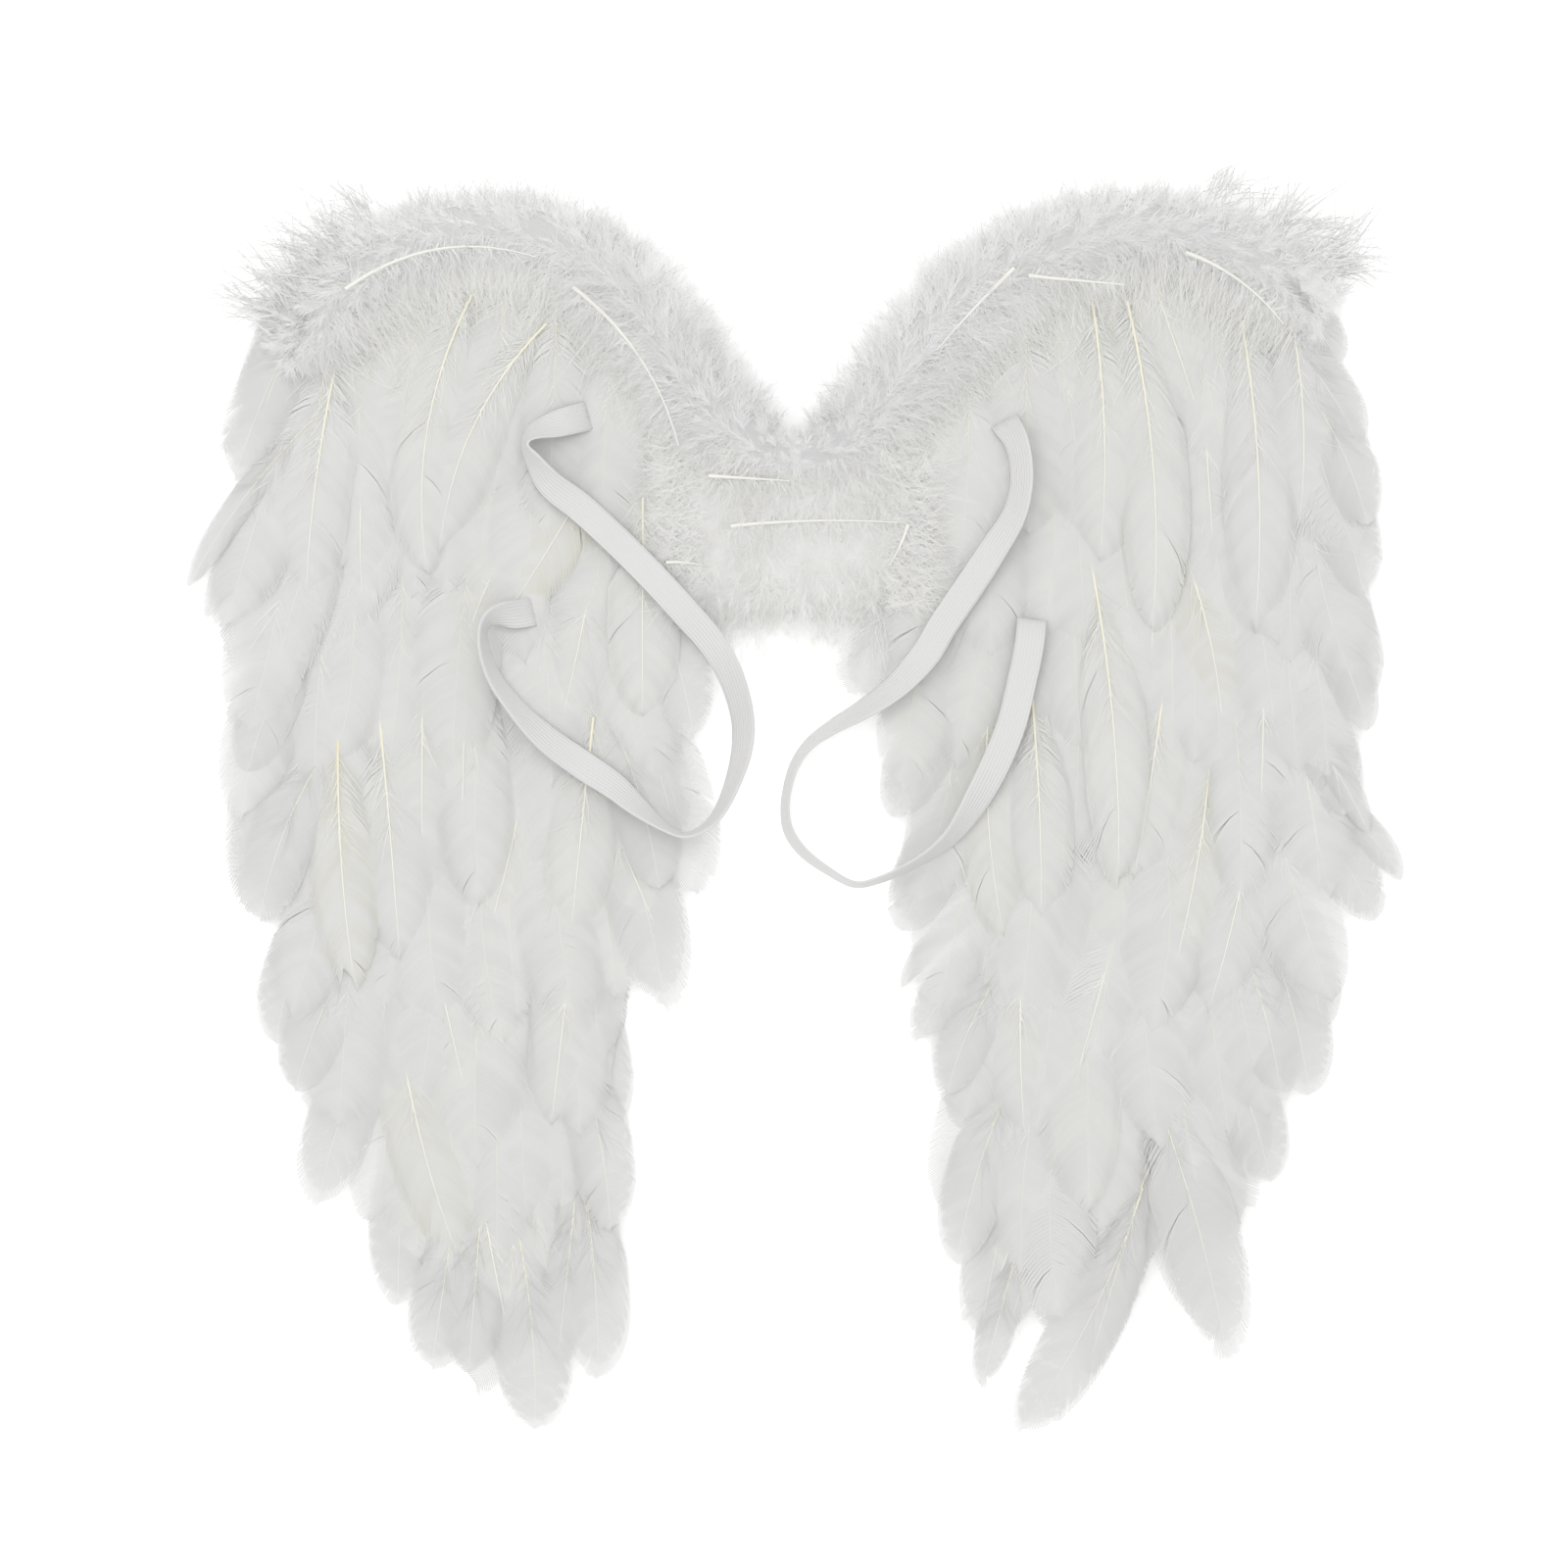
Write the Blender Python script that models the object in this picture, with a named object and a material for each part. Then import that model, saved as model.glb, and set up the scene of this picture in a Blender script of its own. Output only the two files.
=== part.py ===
"""Costume angel wings of white feathers, lying flat with the wearer's side up.

X runs across the span, Y runs up the wings, Z is up. All lengths are in metres.
A place on a wing is given by u, the share of the half span out from the centre line, and by
its depth below the top edge.
"""
import math
from collections import namedtuple

import bmesh
import bpy
from mathutils import Vector
from mathutils.bvhtree import BVHTree

# Overall sizes
HALF_SPAN = 0.248
WING_LENGTH = 0.513

# Feathers
FEATHER_WIDTH = 0.034
FEATHER_LENGTH = 0.1715 * WING_LENGTH
QUILL_THICKNESS = 0.0015
QUILL_TAPER = 0.4
NEIGHBOUR_LIFT = 0.0009
STRIP_WIDTH = 0.006
CLEARANCE = 0.0003
SEAM_MARGIN = 0.0012

# Rows of feathers
ROW_PITCH = 0.1014 * WING_LENGTH
ROW_COUNT = 8
SHOW_ROW_SPAN = 2
SHOW_LENGTH = 0.2437 * WING_LENGTH

# Down trim along the top edge
SEAM_DEPTH = 0.0653 * WING_LENGTH
SEAM_LEAD = 0.04
ARCH_HALF_WIDTH = 0.3065 * HALF_SPAN
TRIM_WIDTH = 0.028
SHOULDER_SHARE = 0.75
TRIM_HEIGHT = 0.028
LOCK_LENGTH = 0.007
LOCK_PITCH = 0.0095

# Down-covered bridge between the wings
BRIDGE_WIDTH = 0.4194 * HALF_SPAN
BRIDGE_THICKNESS = 0.016
BRIDGE_BOTTOM_DEPTH = 0.3606 * WING_LENGTH
FRINGE_LENGTH = 0.015
VALLEY_DEPTH = 0.2485 * WING_LENGTH

# The small loose feather under the bridge. Its lean is in degrees, its height a share of the
# bridge's thickness
HANGING_X = 0.121 * HALF_SPAN
HANGING_LEAN = -16.0
HANGING_LENGTH = 0.034
HANGING_WIDTH = 0.022
HANGING_HEIGHT = 0.4

# Elastic straps
STRAP_WIDTH = 0.012
STRAP_THICKNESS = 0.0012
STRAP_SLOPE = 0.35
STRAP_STEP = 0.0065
STRAP_GAP = 0.0009

# How far one feather of a row differs from the next: degrees, and shares of its size
UNEVEN_LEAN = 3.0
UNEVEN_LENGTH = 0.05
UNEVEN_WIDTH = 0.08
FEATHER_BOW = 0.05

# Steps that curves are worked out in, and that a feather's edge is drawn in by near a seam
SEAM_STEPS = 24
FINE_STEPS = 480
TRIM_STEPS = 20
LEAST_STEPS = 3

# Probes either way under each stretch of a strap, and the share of its half width and of its
# step that they reach
PROBES_ACROSS = 4
PROBES_ALONG = 3
PROBE_WIDTH = 1.2
PROBE_LENGTH = 0.6

LAYER_GAP = 0.0004
SIDE_GAP = 0.0007
LAYER_STEP = QUILL_THICKNESS + NEIGHBOUR_LIFT + LAYER_GAP
SIDE_SPACING = QUILL_THICKNESS + SIDE_GAP
SHOW_OVERLAP = SHOW_LENGTH / (SHOW_ROW_SPAN * ROW_PITCH)
BED_HEIGHT = SIDE_SPACING + LAYER_STEP * SHOW_OVERLAP + NEIGHBOUR_LIFT + QUILL_THICKNESS / 2

# One row of feathers. inner and outer are the u of its first and last quill root, length is
# a share of the feather length, belly is how much longer the middle feathers are, and the
# leans are degrees that the quills tip away from the centre line.
Row = namedtuple("Row", "inner outer feathers length belly lean_inner lean_outer")

LEFT_ROWS = (
    Row(0.30, 0.85, 7, 1.02, 0.05, 2, 22),
    Row(0.26, 0.85, 7, 1.04, 0.05, 2, 12),
    Row(0.26, 0.83, 7, 1.00, 0.10, -16, 11),
    Row(0.25, 0.81, 7, 1.00, 0.12, -13, 12),
    Row(0.29, 0.77, 6, 1.00, 0.15, -16, 11),
    Row(0.35, 0.75, 6, 0.98, 0.20, -9, 11),
    Row(0.36, 0.72, 5, 0.88, 0.30, -9, 6),
    Row(0.38, 0.60, 5, 1.00, 0.32, -8, 2),
)

RIGHT_ROWS = (
    Row(0.27, 0.86, 7, 1.02, 0.05, 2, 14),
    Row(0.26, 0.87, 7, 1.04, 0.05, 0, 10),
    Row(0.26, 0.86, 7, 1.00, 0.10, -10, 11),
    Row(0.27, 0.85, 7, 1.02, 0.12, -12, 18),
    Row(0.29, 0.81, 6, 1.02, 0.15, -14, 15),
    Row(0.33, 0.76, 6, 1.00, 0.20, -13, 18),
    Row(0.35, 0.70, 5, 0.96, 0.20, -14, 12),
    Row(0.37, 0.63, 4, 0.98, 0.36, -11, 14),
)

SHOW_ROWS = (
    Row(0.30, 0.82, 6, 0.96, 0.00, 2, 15),
    Row(0.28, 0.82, 6, 0.98, 0.05, -6, 9),
    Row(0.32, 0.75, 5, 0.94, 0.08, -9, 7),
    Row(0.40, 0.60, 4, 0.86, 0.12, -5, 2),
)

# The seam from the arch down to the middle of the valley, in u and shares of its depth
LEFT_VALLEY = ((0.235, 0.64), (0.185, 0.77), (0.135, 0.88), (0.075, 0.97), (0.000, 1.00))
RIGHT_VALLEY = ((0.238, 0.60), (0.200, 0.73), (0.130, 0.90), (0.065, 0.98), (0.000, 1.00))

# A wing. side is -1 for the one at -X, apex is the u of the arch's highest point, sag is the
# share of the wing's length that the arch falls within its half width, and shoulder is the u
# where the trim ends.
Wing = namedtuple("Wing", "name side apex sag shoulder rows valley")

WINGS = (
    Wing("left", -1, 0.506, 0.101, 0.86, LEFT_ROWS, LEFT_VALLEY),
    Wing("right", 1, 0.565, 0.078, 0.89, RIGHT_ROWS, RIGHT_VALLEY),
)

# Share of the length along the quill, and the half width there as a share of the full one
BLADE_SECTIONS = (
    (0.00, 0.09),
    (0.07, 0.64),
    (0.36, 0.94),
    (0.70, 0.98),
    (0.92, 0.62),
)

# Middle of the down, as shares outward and up, that the locks point away from, and how much
# they sweep along the trim
CORE = (0.35, 0.45)
LOCK_SWEEP = 0.5

# Cross-sections of the down: share outward, share of the height, and share of a lock
TRIM_SECTION = (
    (0.00, 0.00, 0.0),
    (0.00, 0.62, 0.0),
    (0.22, 0.93, 0.5),
    (0.50, 1.00, 0.8),
    (0.78, 0.84, 1.0),
    (0.97, 0.52, 1.0),
    (0.90, 0.20, 0.7),
    (0.62, 0.00, 0.0),
)

BRIDGE_SECTION = (
    (0.00, 0.00, 0.0),
    (0.00, 0.70, 0.0),
    (0.22, 0.96, 0.0),
    (0.50, 1.00, 0.0),
    (0.82, 0.88, 0.0),
    (1.00, 0.55, 1.0),
    (0.99, 0.22, 0.4),
    (0.94, 0.00, 0.0),
)

# Routes of the straps over the wings: x as a share of the half span, y as a share of the
# wing's length, and the roll in degrees, 0 lying flat
LEFT_STRAP_ROUTE = (
    (-0.339, 0.308, 0),
    (-0.381, 0.302, 15),
    (-0.424, 0.295, 50),
    (-0.442, 0.284, 76),
    (-0.429, 0.271, 58),
    (-0.400, 0.252, 25),
    (-0.352, 0.234, 5),
    (-0.294, 0.209, 0),
    (-0.234, 0.180, 0),
    (-0.181, 0.152, 10),
    (-0.139, 0.128, 20),
    (-0.106, 0.103, 32),
    (-0.087, 0.071, 40),
    (-0.086, 0.046, 46),
    (-0.100, 0.019, 58),
    (-0.123, -0.006, 68),
    (-0.148, -0.019, 76),
    (-0.181, -0.025, 82),
    (-0.213, -0.019, 76),
    (-0.258, -0.002, 50),
    (-0.298, 0.014, 28),
    (-0.347, 0.030, 15),
    (-0.405, 0.050, 30),
    (-0.453, 0.074, 52),
    (-0.492, 0.099, 64),
    (-0.509, 0.123, 72),
    (-0.509, 0.141, 76),
    (-0.486, 0.149, 45),
    (-0.458, 0.150, 15),
    (-0.429, 0.152, 0),
)

RIGHT_STRAP_ROUTE = (
    (0.344, 0.304, 15),
    (0.363, 0.287, 38),
    (0.371, 0.266, 43),
    (0.369, 0.247, 43),
    (0.356, 0.226, 36),
    (0.326, 0.202, 20),
    (0.287, 0.173, 5),
    (0.244, 0.142, 0),
    (0.218, 0.120, 10),
    (0.184, 0.101, 28),
    (0.152, 0.087, 40),
    (0.113, 0.074, 50),
    (0.065, 0.061, 61),
    (0.026, 0.048, 69),
    (0.002, 0.032, 73),
    (-0.011, 0.014, 75),
    (-0.016, -0.005, 75),
    (-0.010, -0.023, 72),
    (0.015, -0.039, 72),
    (0.053, -0.053, 76),
    (0.097, -0.064, 79),
    (0.135, -0.061, 78),
    (0.184, -0.051, 74),
    (0.227, -0.039, 66),
    (0.263, -0.023, 52),
    (0.298, 0.003, 28),
    (0.331, 0.032, 8),
    (0.356, 0.064, 0),
    (0.373, 0.096, 0),
    (0.384, 0.121, 0),
    (0.390, 0.146, 0),
)


def clear_scene():
    for item in list(bpy.data.objects):
        bpy.data.objects.remove(item, do_unlink=True)


def make_material(name, color, roughness):
    material = bpy.data.materials.new(name)
    material.use_nodes = True
    shader = material.node_tree.nodes["Principled BSDF"]
    shader.inputs["Base Color"].default_value = (*color, 1.0)
    shader.inputs["Roughness"].default_value = roughness
    shader.inputs["Metallic"].default_value = 0.0
    return material


def make_object(name, shape, material):
    """Close a bmesh into an object with outward faces and smooth shading."""
    bmesh.ops.recalc_face_normals(shape, faces=shape.faces)
    mesh = bpy.data.meshes.new(name)
    shape.to_mesh(mesh)
    shape.free()
    mesh.shade_smooth()
    mesh.set_sharp_from_angle(angle=math.radians(40))
    mesh.materials.append(material)
    item = bpy.data.objects.new(name, mesh)
    bpy.context.collection.objects.link(item)
    return item


def loft(shape, rings, tip=None):
    """Skin rings of equal count into one closed shell, ending in a cap or in a point."""
    rows = [[shape.verts.new(point) for point in ring] for ring in rings]
    count = len(rows[0])
    for row, following in zip(rows, rows[1:]):
        for k in range(count):
            n = (k + 1) % count
            shape.faces.new((row[k], row[n], following[n], following[k]))
    shape.faces.new(rows[0])
    if tip is None:
        shape.faces.new(rows[-1])
        return
    end = shape.verts.new(tip)
    for k in range(count):
        shape.faces.new((rows[-1][k], rows[-1][(k + 1) % count], end))


def smooth_through(points, share):
    """A point on the smooth curve through the given tuples, at a share of its count."""
    last = len(points) - 1
    place = min(max(share, 0.0), 1.0) * last
    k = min(int(place), last - 1)
    t = place - k
    before, start = points[max(k - 1, 0)], points[k]
    end, after = points[k + 1], points[min(k + 2, last)]
    result = []
    for a, b, c, d in zip(before, start, end, after):
        bend = (2 * a - 5 * b + 4 * c - d) * t * t + (3 * b - a - 3 * c + d) * t ** 3
        result.append(b + 0.5 * ((c - a) * t + bend))
    return result


def even_steps(points, step):
    """Points at even distances along a polyline, first and last kept."""
    lengths = [0.0]
    for start, end in zip(points, points[1:]):
        lengths.append(lengths[-1] + (end - start).length)
    count = max(2, round(lengths[-1] / step))
    result = []
    k = 0
    for n in range(count + 1):
        target = lengths[-1] * n / count
        while k < len(points) - 2 and lengths[k + 1] < target:
            k += 1
        t = (target - lengths[k]) / (lengths[k + 1] - lengths[k])
        result.append(points[k].lerp(points[k + 1], t))
    return result


def place(wing, u, depth):
    """A point of the wing's plan from its u and its depth below the top edge."""
    return Vector((wing.side * u * HALF_SPAN, WING_LENGTH / 2 - depth, 0.0))


def arch_drop(wing, x):
    """How far the arch has fallen from its highest point at x."""
    offset = abs(x) - wing.apex * HALF_SPAN
    return wing.sag * WING_LENGTH * (offset / ARCH_HALF_WIDTH) ** 2


def row_depth(wing, number, x):
    """Depth of a row's root line at x. Lower rows follow the arch less and less."""
    return SEAM_DEPTH + number * ROW_PITCH + arch_drop(wing, x) * (1 - number / ROW_COUNT)


def row_phase(wing, point):
    """The row number, whole and part, whose root line runs through a point."""
    depth = WING_LENGTH / 2 - point.y
    drop = arch_drop(wing, point.x)
    return max(0.0, (depth - SEAM_DEPTH - drop) / (ROW_PITCH - drop / ROW_COUNT))


def seam_edge(seam, x, distance):
    """Y of the line that runs at a distance below a seam, at x from the centre line."""
    for point, following in zip(seam, seam[1:]):
        if abs(following.x) <= x:
            break
    run = abs(point.x) - abs(following.x)
    rise = point.y - following.y
    along = (x - abs(following.x)) / run
    return following.y + rise * along - distance * math.hypot(1.0, rise / run)


def is_free(wing, seam, point):
    """Whether a feather may lie there: inside the trim's seam and outside the bridge."""
    reach = min(abs(point.x), wing.shoulder * HALF_SPAN)
    if point.y > seam_edge(seam, reach, SEAM_MARGIN):
        return False
    depth = WING_LENGTH / 2 - point.y
    beside_bridge = abs(point.x) < BRIDGE_WIDTH / 2 + 2 * CLEARANCE
    return not (beside_bridge and depth < BRIDGE_BOTTOM_DEPTH + FRINGE_LENGTH)


def wearer_height(wing, number, lift):
    """Height of a row on the wearer's side, which rises over the rows below it."""
    def height(point):
        return BED_HEIGHT + LAYER_STEP * (row_phase(wing, point) - number) + lift
    return height


def show_height(wing, number, lift):
    """Height of a row on the show side, whose tips come down to the surface."""
    def height(point):
        phase = row_phase(wing, point) / SHOW_ROW_SPAN - number
        return BED_HEIGHT - SIDE_SPACING - LAYER_STEP * phase + lift
    return height


# A side of a wing: the name of its rows, how many wearer's rows one of its rows spans, the
# length of its feathers, the lift of every other feather, and the height of a row
Side = namedtuple("Side", "name row_span length lift height_of")

WEARER_SIDE = Side("feather_row", 1, FEATHER_LENGTH, NEIGHBOUR_LIFT, wearer_height)
SHOW_SIDE = Side("show_row", SHOW_ROW_SPAN, SHOW_LENGTH, -NEIGHBOUR_LIFT, show_height)


def raised(point, height, extra):
    return Vector((point.x, point.y, height(point) + extra))


def add_blade(shape, root, lean, length, width, bow, height, free):
    """One feather: a leaf with its quill as a ridge, lofted from root to tip."""
    down = Vector((math.sin(lean), -math.cos(lean), 0.0))
    across = Vector((down.y, -down.x, 0.0))
    rings = []
    for along, half in BLADE_SECTIONS:
        centre = root + down * (length * along) + across * (bow * length * along ** 2)
        ring_across = (across - down * (2 * bow * along)).normalized()
        rise = QUILL_THICKNESS / 2 * (1 - QUILL_TAPER * along)
        sides = []
        for direction in (-1, 1):
            steps = TRIM_STEPS
            reach = ring_across * (direction * half * width / 2 / TRIM_STEPS)
            while steps > LEAST_STEPS and not free(centre + reach * steps):
                steps -= 1
            sides.append(centre + reach * steps)
        rings.append((
            raised(sides[0], height, 0.0),
            raised(centre, height, rise),
            raised(sides[1], height, 0.0),
            raised(centre, height, -rise),
        ))
    end = root + down * length + across * (bow * length)
    loft(shape, rings, raised(end, height, 0.0))


def add_strip(shape, line, height, lift_span):
    """The backing strip that the roots of one row are fused to."""
    half = STRIP_WIDTH / 2
    middle = lift_span / 2
    rise = QUILL_THICKNESS / 2 + abs(middle)
    rings = []
    for k, point in enumerate(line):
        along = (line[min(k + 1, len(line) - 1)] - line[max(k - 1, 0)]).normalized()
        across = Vector((-along.y, along.x, 0.0)) * half
        rings.append((
            raised(point - across, height, middle),
            raised(point, height, middle + rise),
            raised(point + across, height, middle),
            raised(point, height, middle - rise),
        ))
    loft(shape, rings)


def stagger(number, k):
    """A fixed uneven spread from -1 to 1 for the feathers of a row."""
    return ((3 * number + 7 * k) % 5 - 2) / 2


def root_place(wing, seam, number, u):
    """Where a quill of a row starts. The first row hugs the trim's seam."""
    root = place(wing, u, row_depth(wing, number, u * HALF_SPAN))
    if number == 0:
        root.y = seam_edge(seam, u * HALF_SPAN, STRIP_WIDTH / 2 + SEAM_MARGIN)
    return root


def make_row(wing, seam, number, row, side, material):
    """A strip with its feathers, fused into one body."""
    root_number = number * side.row_span
    roots = []
    blade_shape = bmesh.new()
    for k in range(row.feathers):
        share = k / (row.feathers - 1)
        u = row.inner + (row.outer - row.inner) * share
        root = root_place(wing, seam, root_number, u)
        roots.append(root)
        uneven = stagger(number, k)
        lean = row.lean_inner + (row.lean_outer - row.lean_inner) * share + UNEVEN_LEAN * uneven
        swell = 1 + row.belly * math.sin(math.pi * share) + UNEVEN_LENGTH * uneven
        height = side.height_of(wing, number, side.lift * (k % 2))
        add_blade(
            blade_shape, root, wing.side * math.radians(lean), side.length * row.length * swell,
            FEATHER_WIDTH * (1 + UNEVEN_WIDTH * uneven), FEATHER_BOW * wing.side * uneven,
            height, lambda point: is_free(wing, seam, point))
    end = STRIP_WIDTH / 2 / HALF_SPAN
    roots[0] = root_place(wing, seam, root_number, row.inner - end)
    roots[-1] = root_place(wing, seam, root_number, row.outer + end)
    strip_shape = bmesh.new()
    add_strip(strip_shape, roots, side.height_of(wing, number, 0.0), side.lift)
    name = f"{wing.name}_{side.name}_{number + 1}"
    strip = make_object(name, strip_shape, material)
    fuse(strip, make_object(name + "_blades", blade_shape, material), True)
    return strip


def fuse(base, cutter, crosses_itself):
    """Join a hidden cutter to a solid."""
    cutter.hide_render = True
    cutter.display_type = "WIRE"
    union = base.modifiers.new("fuse", "BOOLEAN")
    union.operation = "UNION"
    union.solver = "EXACT"
    union.use_self = crosses_itself
    union.object = cutter


def seam_points(wing):
    """The trim's inner edge, from the shoulder over the arch to the middle of the valley."""
    inner = wing.valley[0][0] + SEAM_LEAD
    points = []
    for k in range(SEAM_STEPS + 1):
        u = wing.shoulder + (inner - wing.shoulder) * k / SEAM_STEPS
        points.append(place(wing, u, row_depth(wing, 0, u * HALF_SPAN)))
    points += [place(wing, u, VALLEY_DEPTH * share) for u, share in wing.valley]
    points[-1].x = wing.side * CLEARANCE / 2
    path = [Vector(smooth_through(points, k / FINE_STEPS)) for k in range(FINE_STEPS + 1)]
    return even_steps(path, LOCK_PITCH)


def down_shape(stations, section, height, lock):
    """Loft a section of down along stations, with every other corner drawn into a lock.

    A station is its origin, outward edge, direction along and share of a full lock.
    """
    shape = bmesh.new()
    rings = []
    for k, (origin, outward, along, fullness) in enumerate(stations):
        ring = []
        direction = outward.normalized()
        for n, (out, up, pull) in enumerate(section):
            point = origin + outward * out + Vector((0.0, 0.0, up * height))
            if (k + n) % 2 == 0:
                away = direction * (out - CORE[0]) + Vector((0.0, 0.0, up - CORE[1]))
                point += (away.normalized() + along * LOCK_SWEEP) * (lock * pull * fullness)
            point.z = max(point.z, 0.0)
            ring.append(point)
        rings.append(ring)
    loft(shape, rings)
    return shape


def make_trim(wing, seam, material):
    stations = []
    last = len(seam) - 1
    for k, point in enumerate(seam):
        along = (seam[min(k + 1, last)] - seam[max(k - 1, 0)]).normalized()
        if k == last:
            along = Vector((-wing.side, 0.0, 0.0))
        outward = Vector((along.y, -along.x, 0.0)) * wing.side
        fullness = min(1.0, k / 2, (last - k) / 2)
        width = TRIM_WIDTH * (SHOULDER_SHARE + (1 - SHOULDER_SHARE) * min(1.0, k / 2))
        stations.append((point + outward * CLEARANCE, outward * width, along, fullness))
    shape = down_shape(stations, TRIM_SECTION, TRIM_HEIGHT, LOCK_LENGTH)
    return make_object(wing.name + "_down_trim", shape, material)


def make_bridge(seams, material):
    """The pad between the wings, with the fringe and the loose feather at its lower edge."""
    half = BRIDGE_WIDTH / 2
    line = [Vector((-half, seam_edge(seams[0], half, 0.0), 0.0))]
    line += [point for point in seams[0] if abs(point.x) < half]
    line += [point for point in reversed(seams[1]) if abs(point.x) < half][1:]
    line.append(Vector((half, seam_edge(seams[1], half, 0.0), 0.0)))
    bottom = WING_LENGTH / 2 - BRIDGE_BOTTOM_DEPTH
    stations = []
    for point in line:
        origin = point - Vector((0.0, 2 * CLEARANCE, 0.0))
        outward = Vector((0.0, bottom - origin.y, 0.0))
        fullness = 1 - (point.x / half) ** 2
        stations.append((origin, outward, Vector((0.0, 0.0, 0.0)), fullness))
    shape = down_shape(stations, BRIDGE_SECTION, BRIDGE_THICKNESS, FRINGE_LENGTH)
    bridge = make_object("center_bridge", shape, material)
    feather_shape = bmesh.new()
    root = Vector((HANGING_X, bottom + HANGING_WIDTH / 4, 0.0))
    add_blade(
        feather_shape, root, math.radians(HANGING_LEAN), HANGING_LENGTH, HANGING_WIDTH, 0.0,
        lambda point: BRIDGE_THICKNESS * HANGING_HEIGHT, lambda point: True)
    fuse(bridge, make_object("center_bridge_feather", feather_shape, material), False)
    return bridge


def support_heights(centres, supports):
    """Top of the pieces under each stretch of a strap, eased so that it bridges gaps."""
    graph = bpy.context.evaluated_depsgraph_get()
    trees = [BVHTree.FromObject(item, graph) for item in supports]
    ceiling = TRIM_HEIGHT + LOCK_LENGTH + STRAP_WIDTH
    heights = []
    for centre, across in centres:
        top = 0.0
        along = Vector((across.y, -across.x, 0.0)).normalized() * STRAP_STEP
        for n in range(-PROBES_ACROSS, PROBES_ACROSS + 1):
            for m in range(-PROBES_ALONG, PROBES_ALONG + 1):
                start = centre + across * (PROBE_WIDTH * n / PROBES_ACROSS)
                start += along * (PROBE_LENGTH * m / PROBES_ALONG)
                start.z = ceiling
                for tree in trees:
                    hit = tree.ray_cast(start, Vector((0.0, 0.0, -1.0)))[0]
                    if hit is not None:
                        top = max(top, hit.z)
        heights.append(top)
    eased = []
    for k, (centre, across) in enumerate(centres):
        reach = [
            heights[n] - STRAP_SLOPE * max(0.0, (other - centre).length - STRAP_STEP)
            for n, (other, side) in enumerate(centres)
        ]
        eased.append(max(reach))
    return eased


def make_strap(name, route, supports, material):
    """A flat elastic tape that follows its route on top of whatever is under it."""
    points = [(x * HALF_SPAN, y * WING_LENGTH, roll) for x, y, roll in route]
    fine = [smooth_through(points, k / FINE_STEPS) for k in range(FINE_STEPS + 1)]
    length = 0.0
    marks = [fine[0]]
    for start, end in zip(fine, fine[1:]):
        length += math.dist(start[:2], end[:2])
        if length >= STRAP_STEP:
            marks.append(end)
            length = 0.0
    marks[-1] = fine[-1]
    centres = []
    rolls = []
    for k, (x, y, roll) in enumerate(marks):
        start, end = marks[max(k - 1, 0)], marks[min(k + 1, len(marks) - 1)]
        along = Vector((end[0] - start[0], end[1] - start[1], 0.0)).normalized()
        across = Vector((-along.y, along.x, 0.0))
        centres.append((Vector((x, y, 0.0)), across * STRAP_WIDTH / 2))
        rolls.append(math.radians(roll))
    heights = support_heights(centres, supports)
    shape = bmesh.new()
    rings = []
    for (centre, across), roll, height in zip(centres, rolls, heights):
        flat = across.normalized()
        rolled = flat * math.cos(roll) + Vector((0.0, 0.0, math.sin(roll)))
        through = Vector((0.0, 0.0, math.cos(roll))) - flat * math.sin(roll)
        stand = STRAP_WIDTH / 2 * math.sin(roll) + STRAP_THICKNESS / 2 * math.cos(roll)
        middle = centre + Vector((0.0, 0.0, height + STRAP_GAP + stand))
        wide = rolled * STRAP_WIDTH / 2
        thick = through * STRAP_THICKNESS / 2
        rings.append((
            middle - wide - thick,
            middle + wide - thick,
            middle + wide + thick,
            middle - wide + thick,
        ))
    loft(shape, rings)
    return make_object(name, shape, material)


def stand_on_origin(pieces):
    """Carry every piece on an empty that puts the origin under the middle of the object."""
    graph = bpy.context.evaluated_depsgraph_get()
    corners = []
    for item in pieces:
        mesh = item.evaluated_get(graph).data
        corners += [vertex.co.copy() for vertex in mesh.vertices]
    lows = [min(point[axis] for point in corners) for axis in range(3)]
    highs = [max(point[axis] for point in corners) for axis in range(3)]
    middle = Vector(((lows[0] + highs[0]) / 2, (lows[1] + highs[1]) / 2, lows[2]))
    carrier = bpy.data.objects.new("wings", None)
    bpy.context.collection.objects.link(carrier)
    carrier.location = -middle
    for item in bpy.data.objects:
        if item.type == "MESH":
            item.parent = carrier


def build():
    clear_scene()
    feather = make_material("white_feather", (0.80, 0.80, 0.79), 0.65)
    down = make_material("white_down", (0.84, 0.84, 0.82), 0.90)
    elastic = make_material("white_elastic", (0.86, 0.86, 0.86), 0.60)
    pieces = []
    seams = []
    for wing in WINGS:
        seam = seam_points(wing)
        seams.append(seam)
        for number, row in enumerate(wing.rows):
            pieces.append(make_row(wing, seam, number, row, WEARER_SIDE, feather))
        for number, row in enumerate(SHOW_ROWS):
            pieces.append(make_row(wing, seam, number, row, SHOW_SIDE, feather))
        pieces.append(make_trim(wing, seam, down))
    pieces.append(make_bridge(seams, down))
    bpy.context.view_layer.update()
    supports = list(pieces)
    pieces.append(make_strap("left_strap", LEFT_STRAP_ROUTE, supports, elastic))
    pieces.append(make_strap("right_strap", RIGHT_STRAP_ROUTE, supports, elastic))
    bpy.context.view_layer.update()
    stand_on_origin(pieces)


build()
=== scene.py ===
import math
from collections import namedtuple

import bpy
import numpy as np
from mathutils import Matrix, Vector
from mathutils.bvhtree import BVHTree


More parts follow.
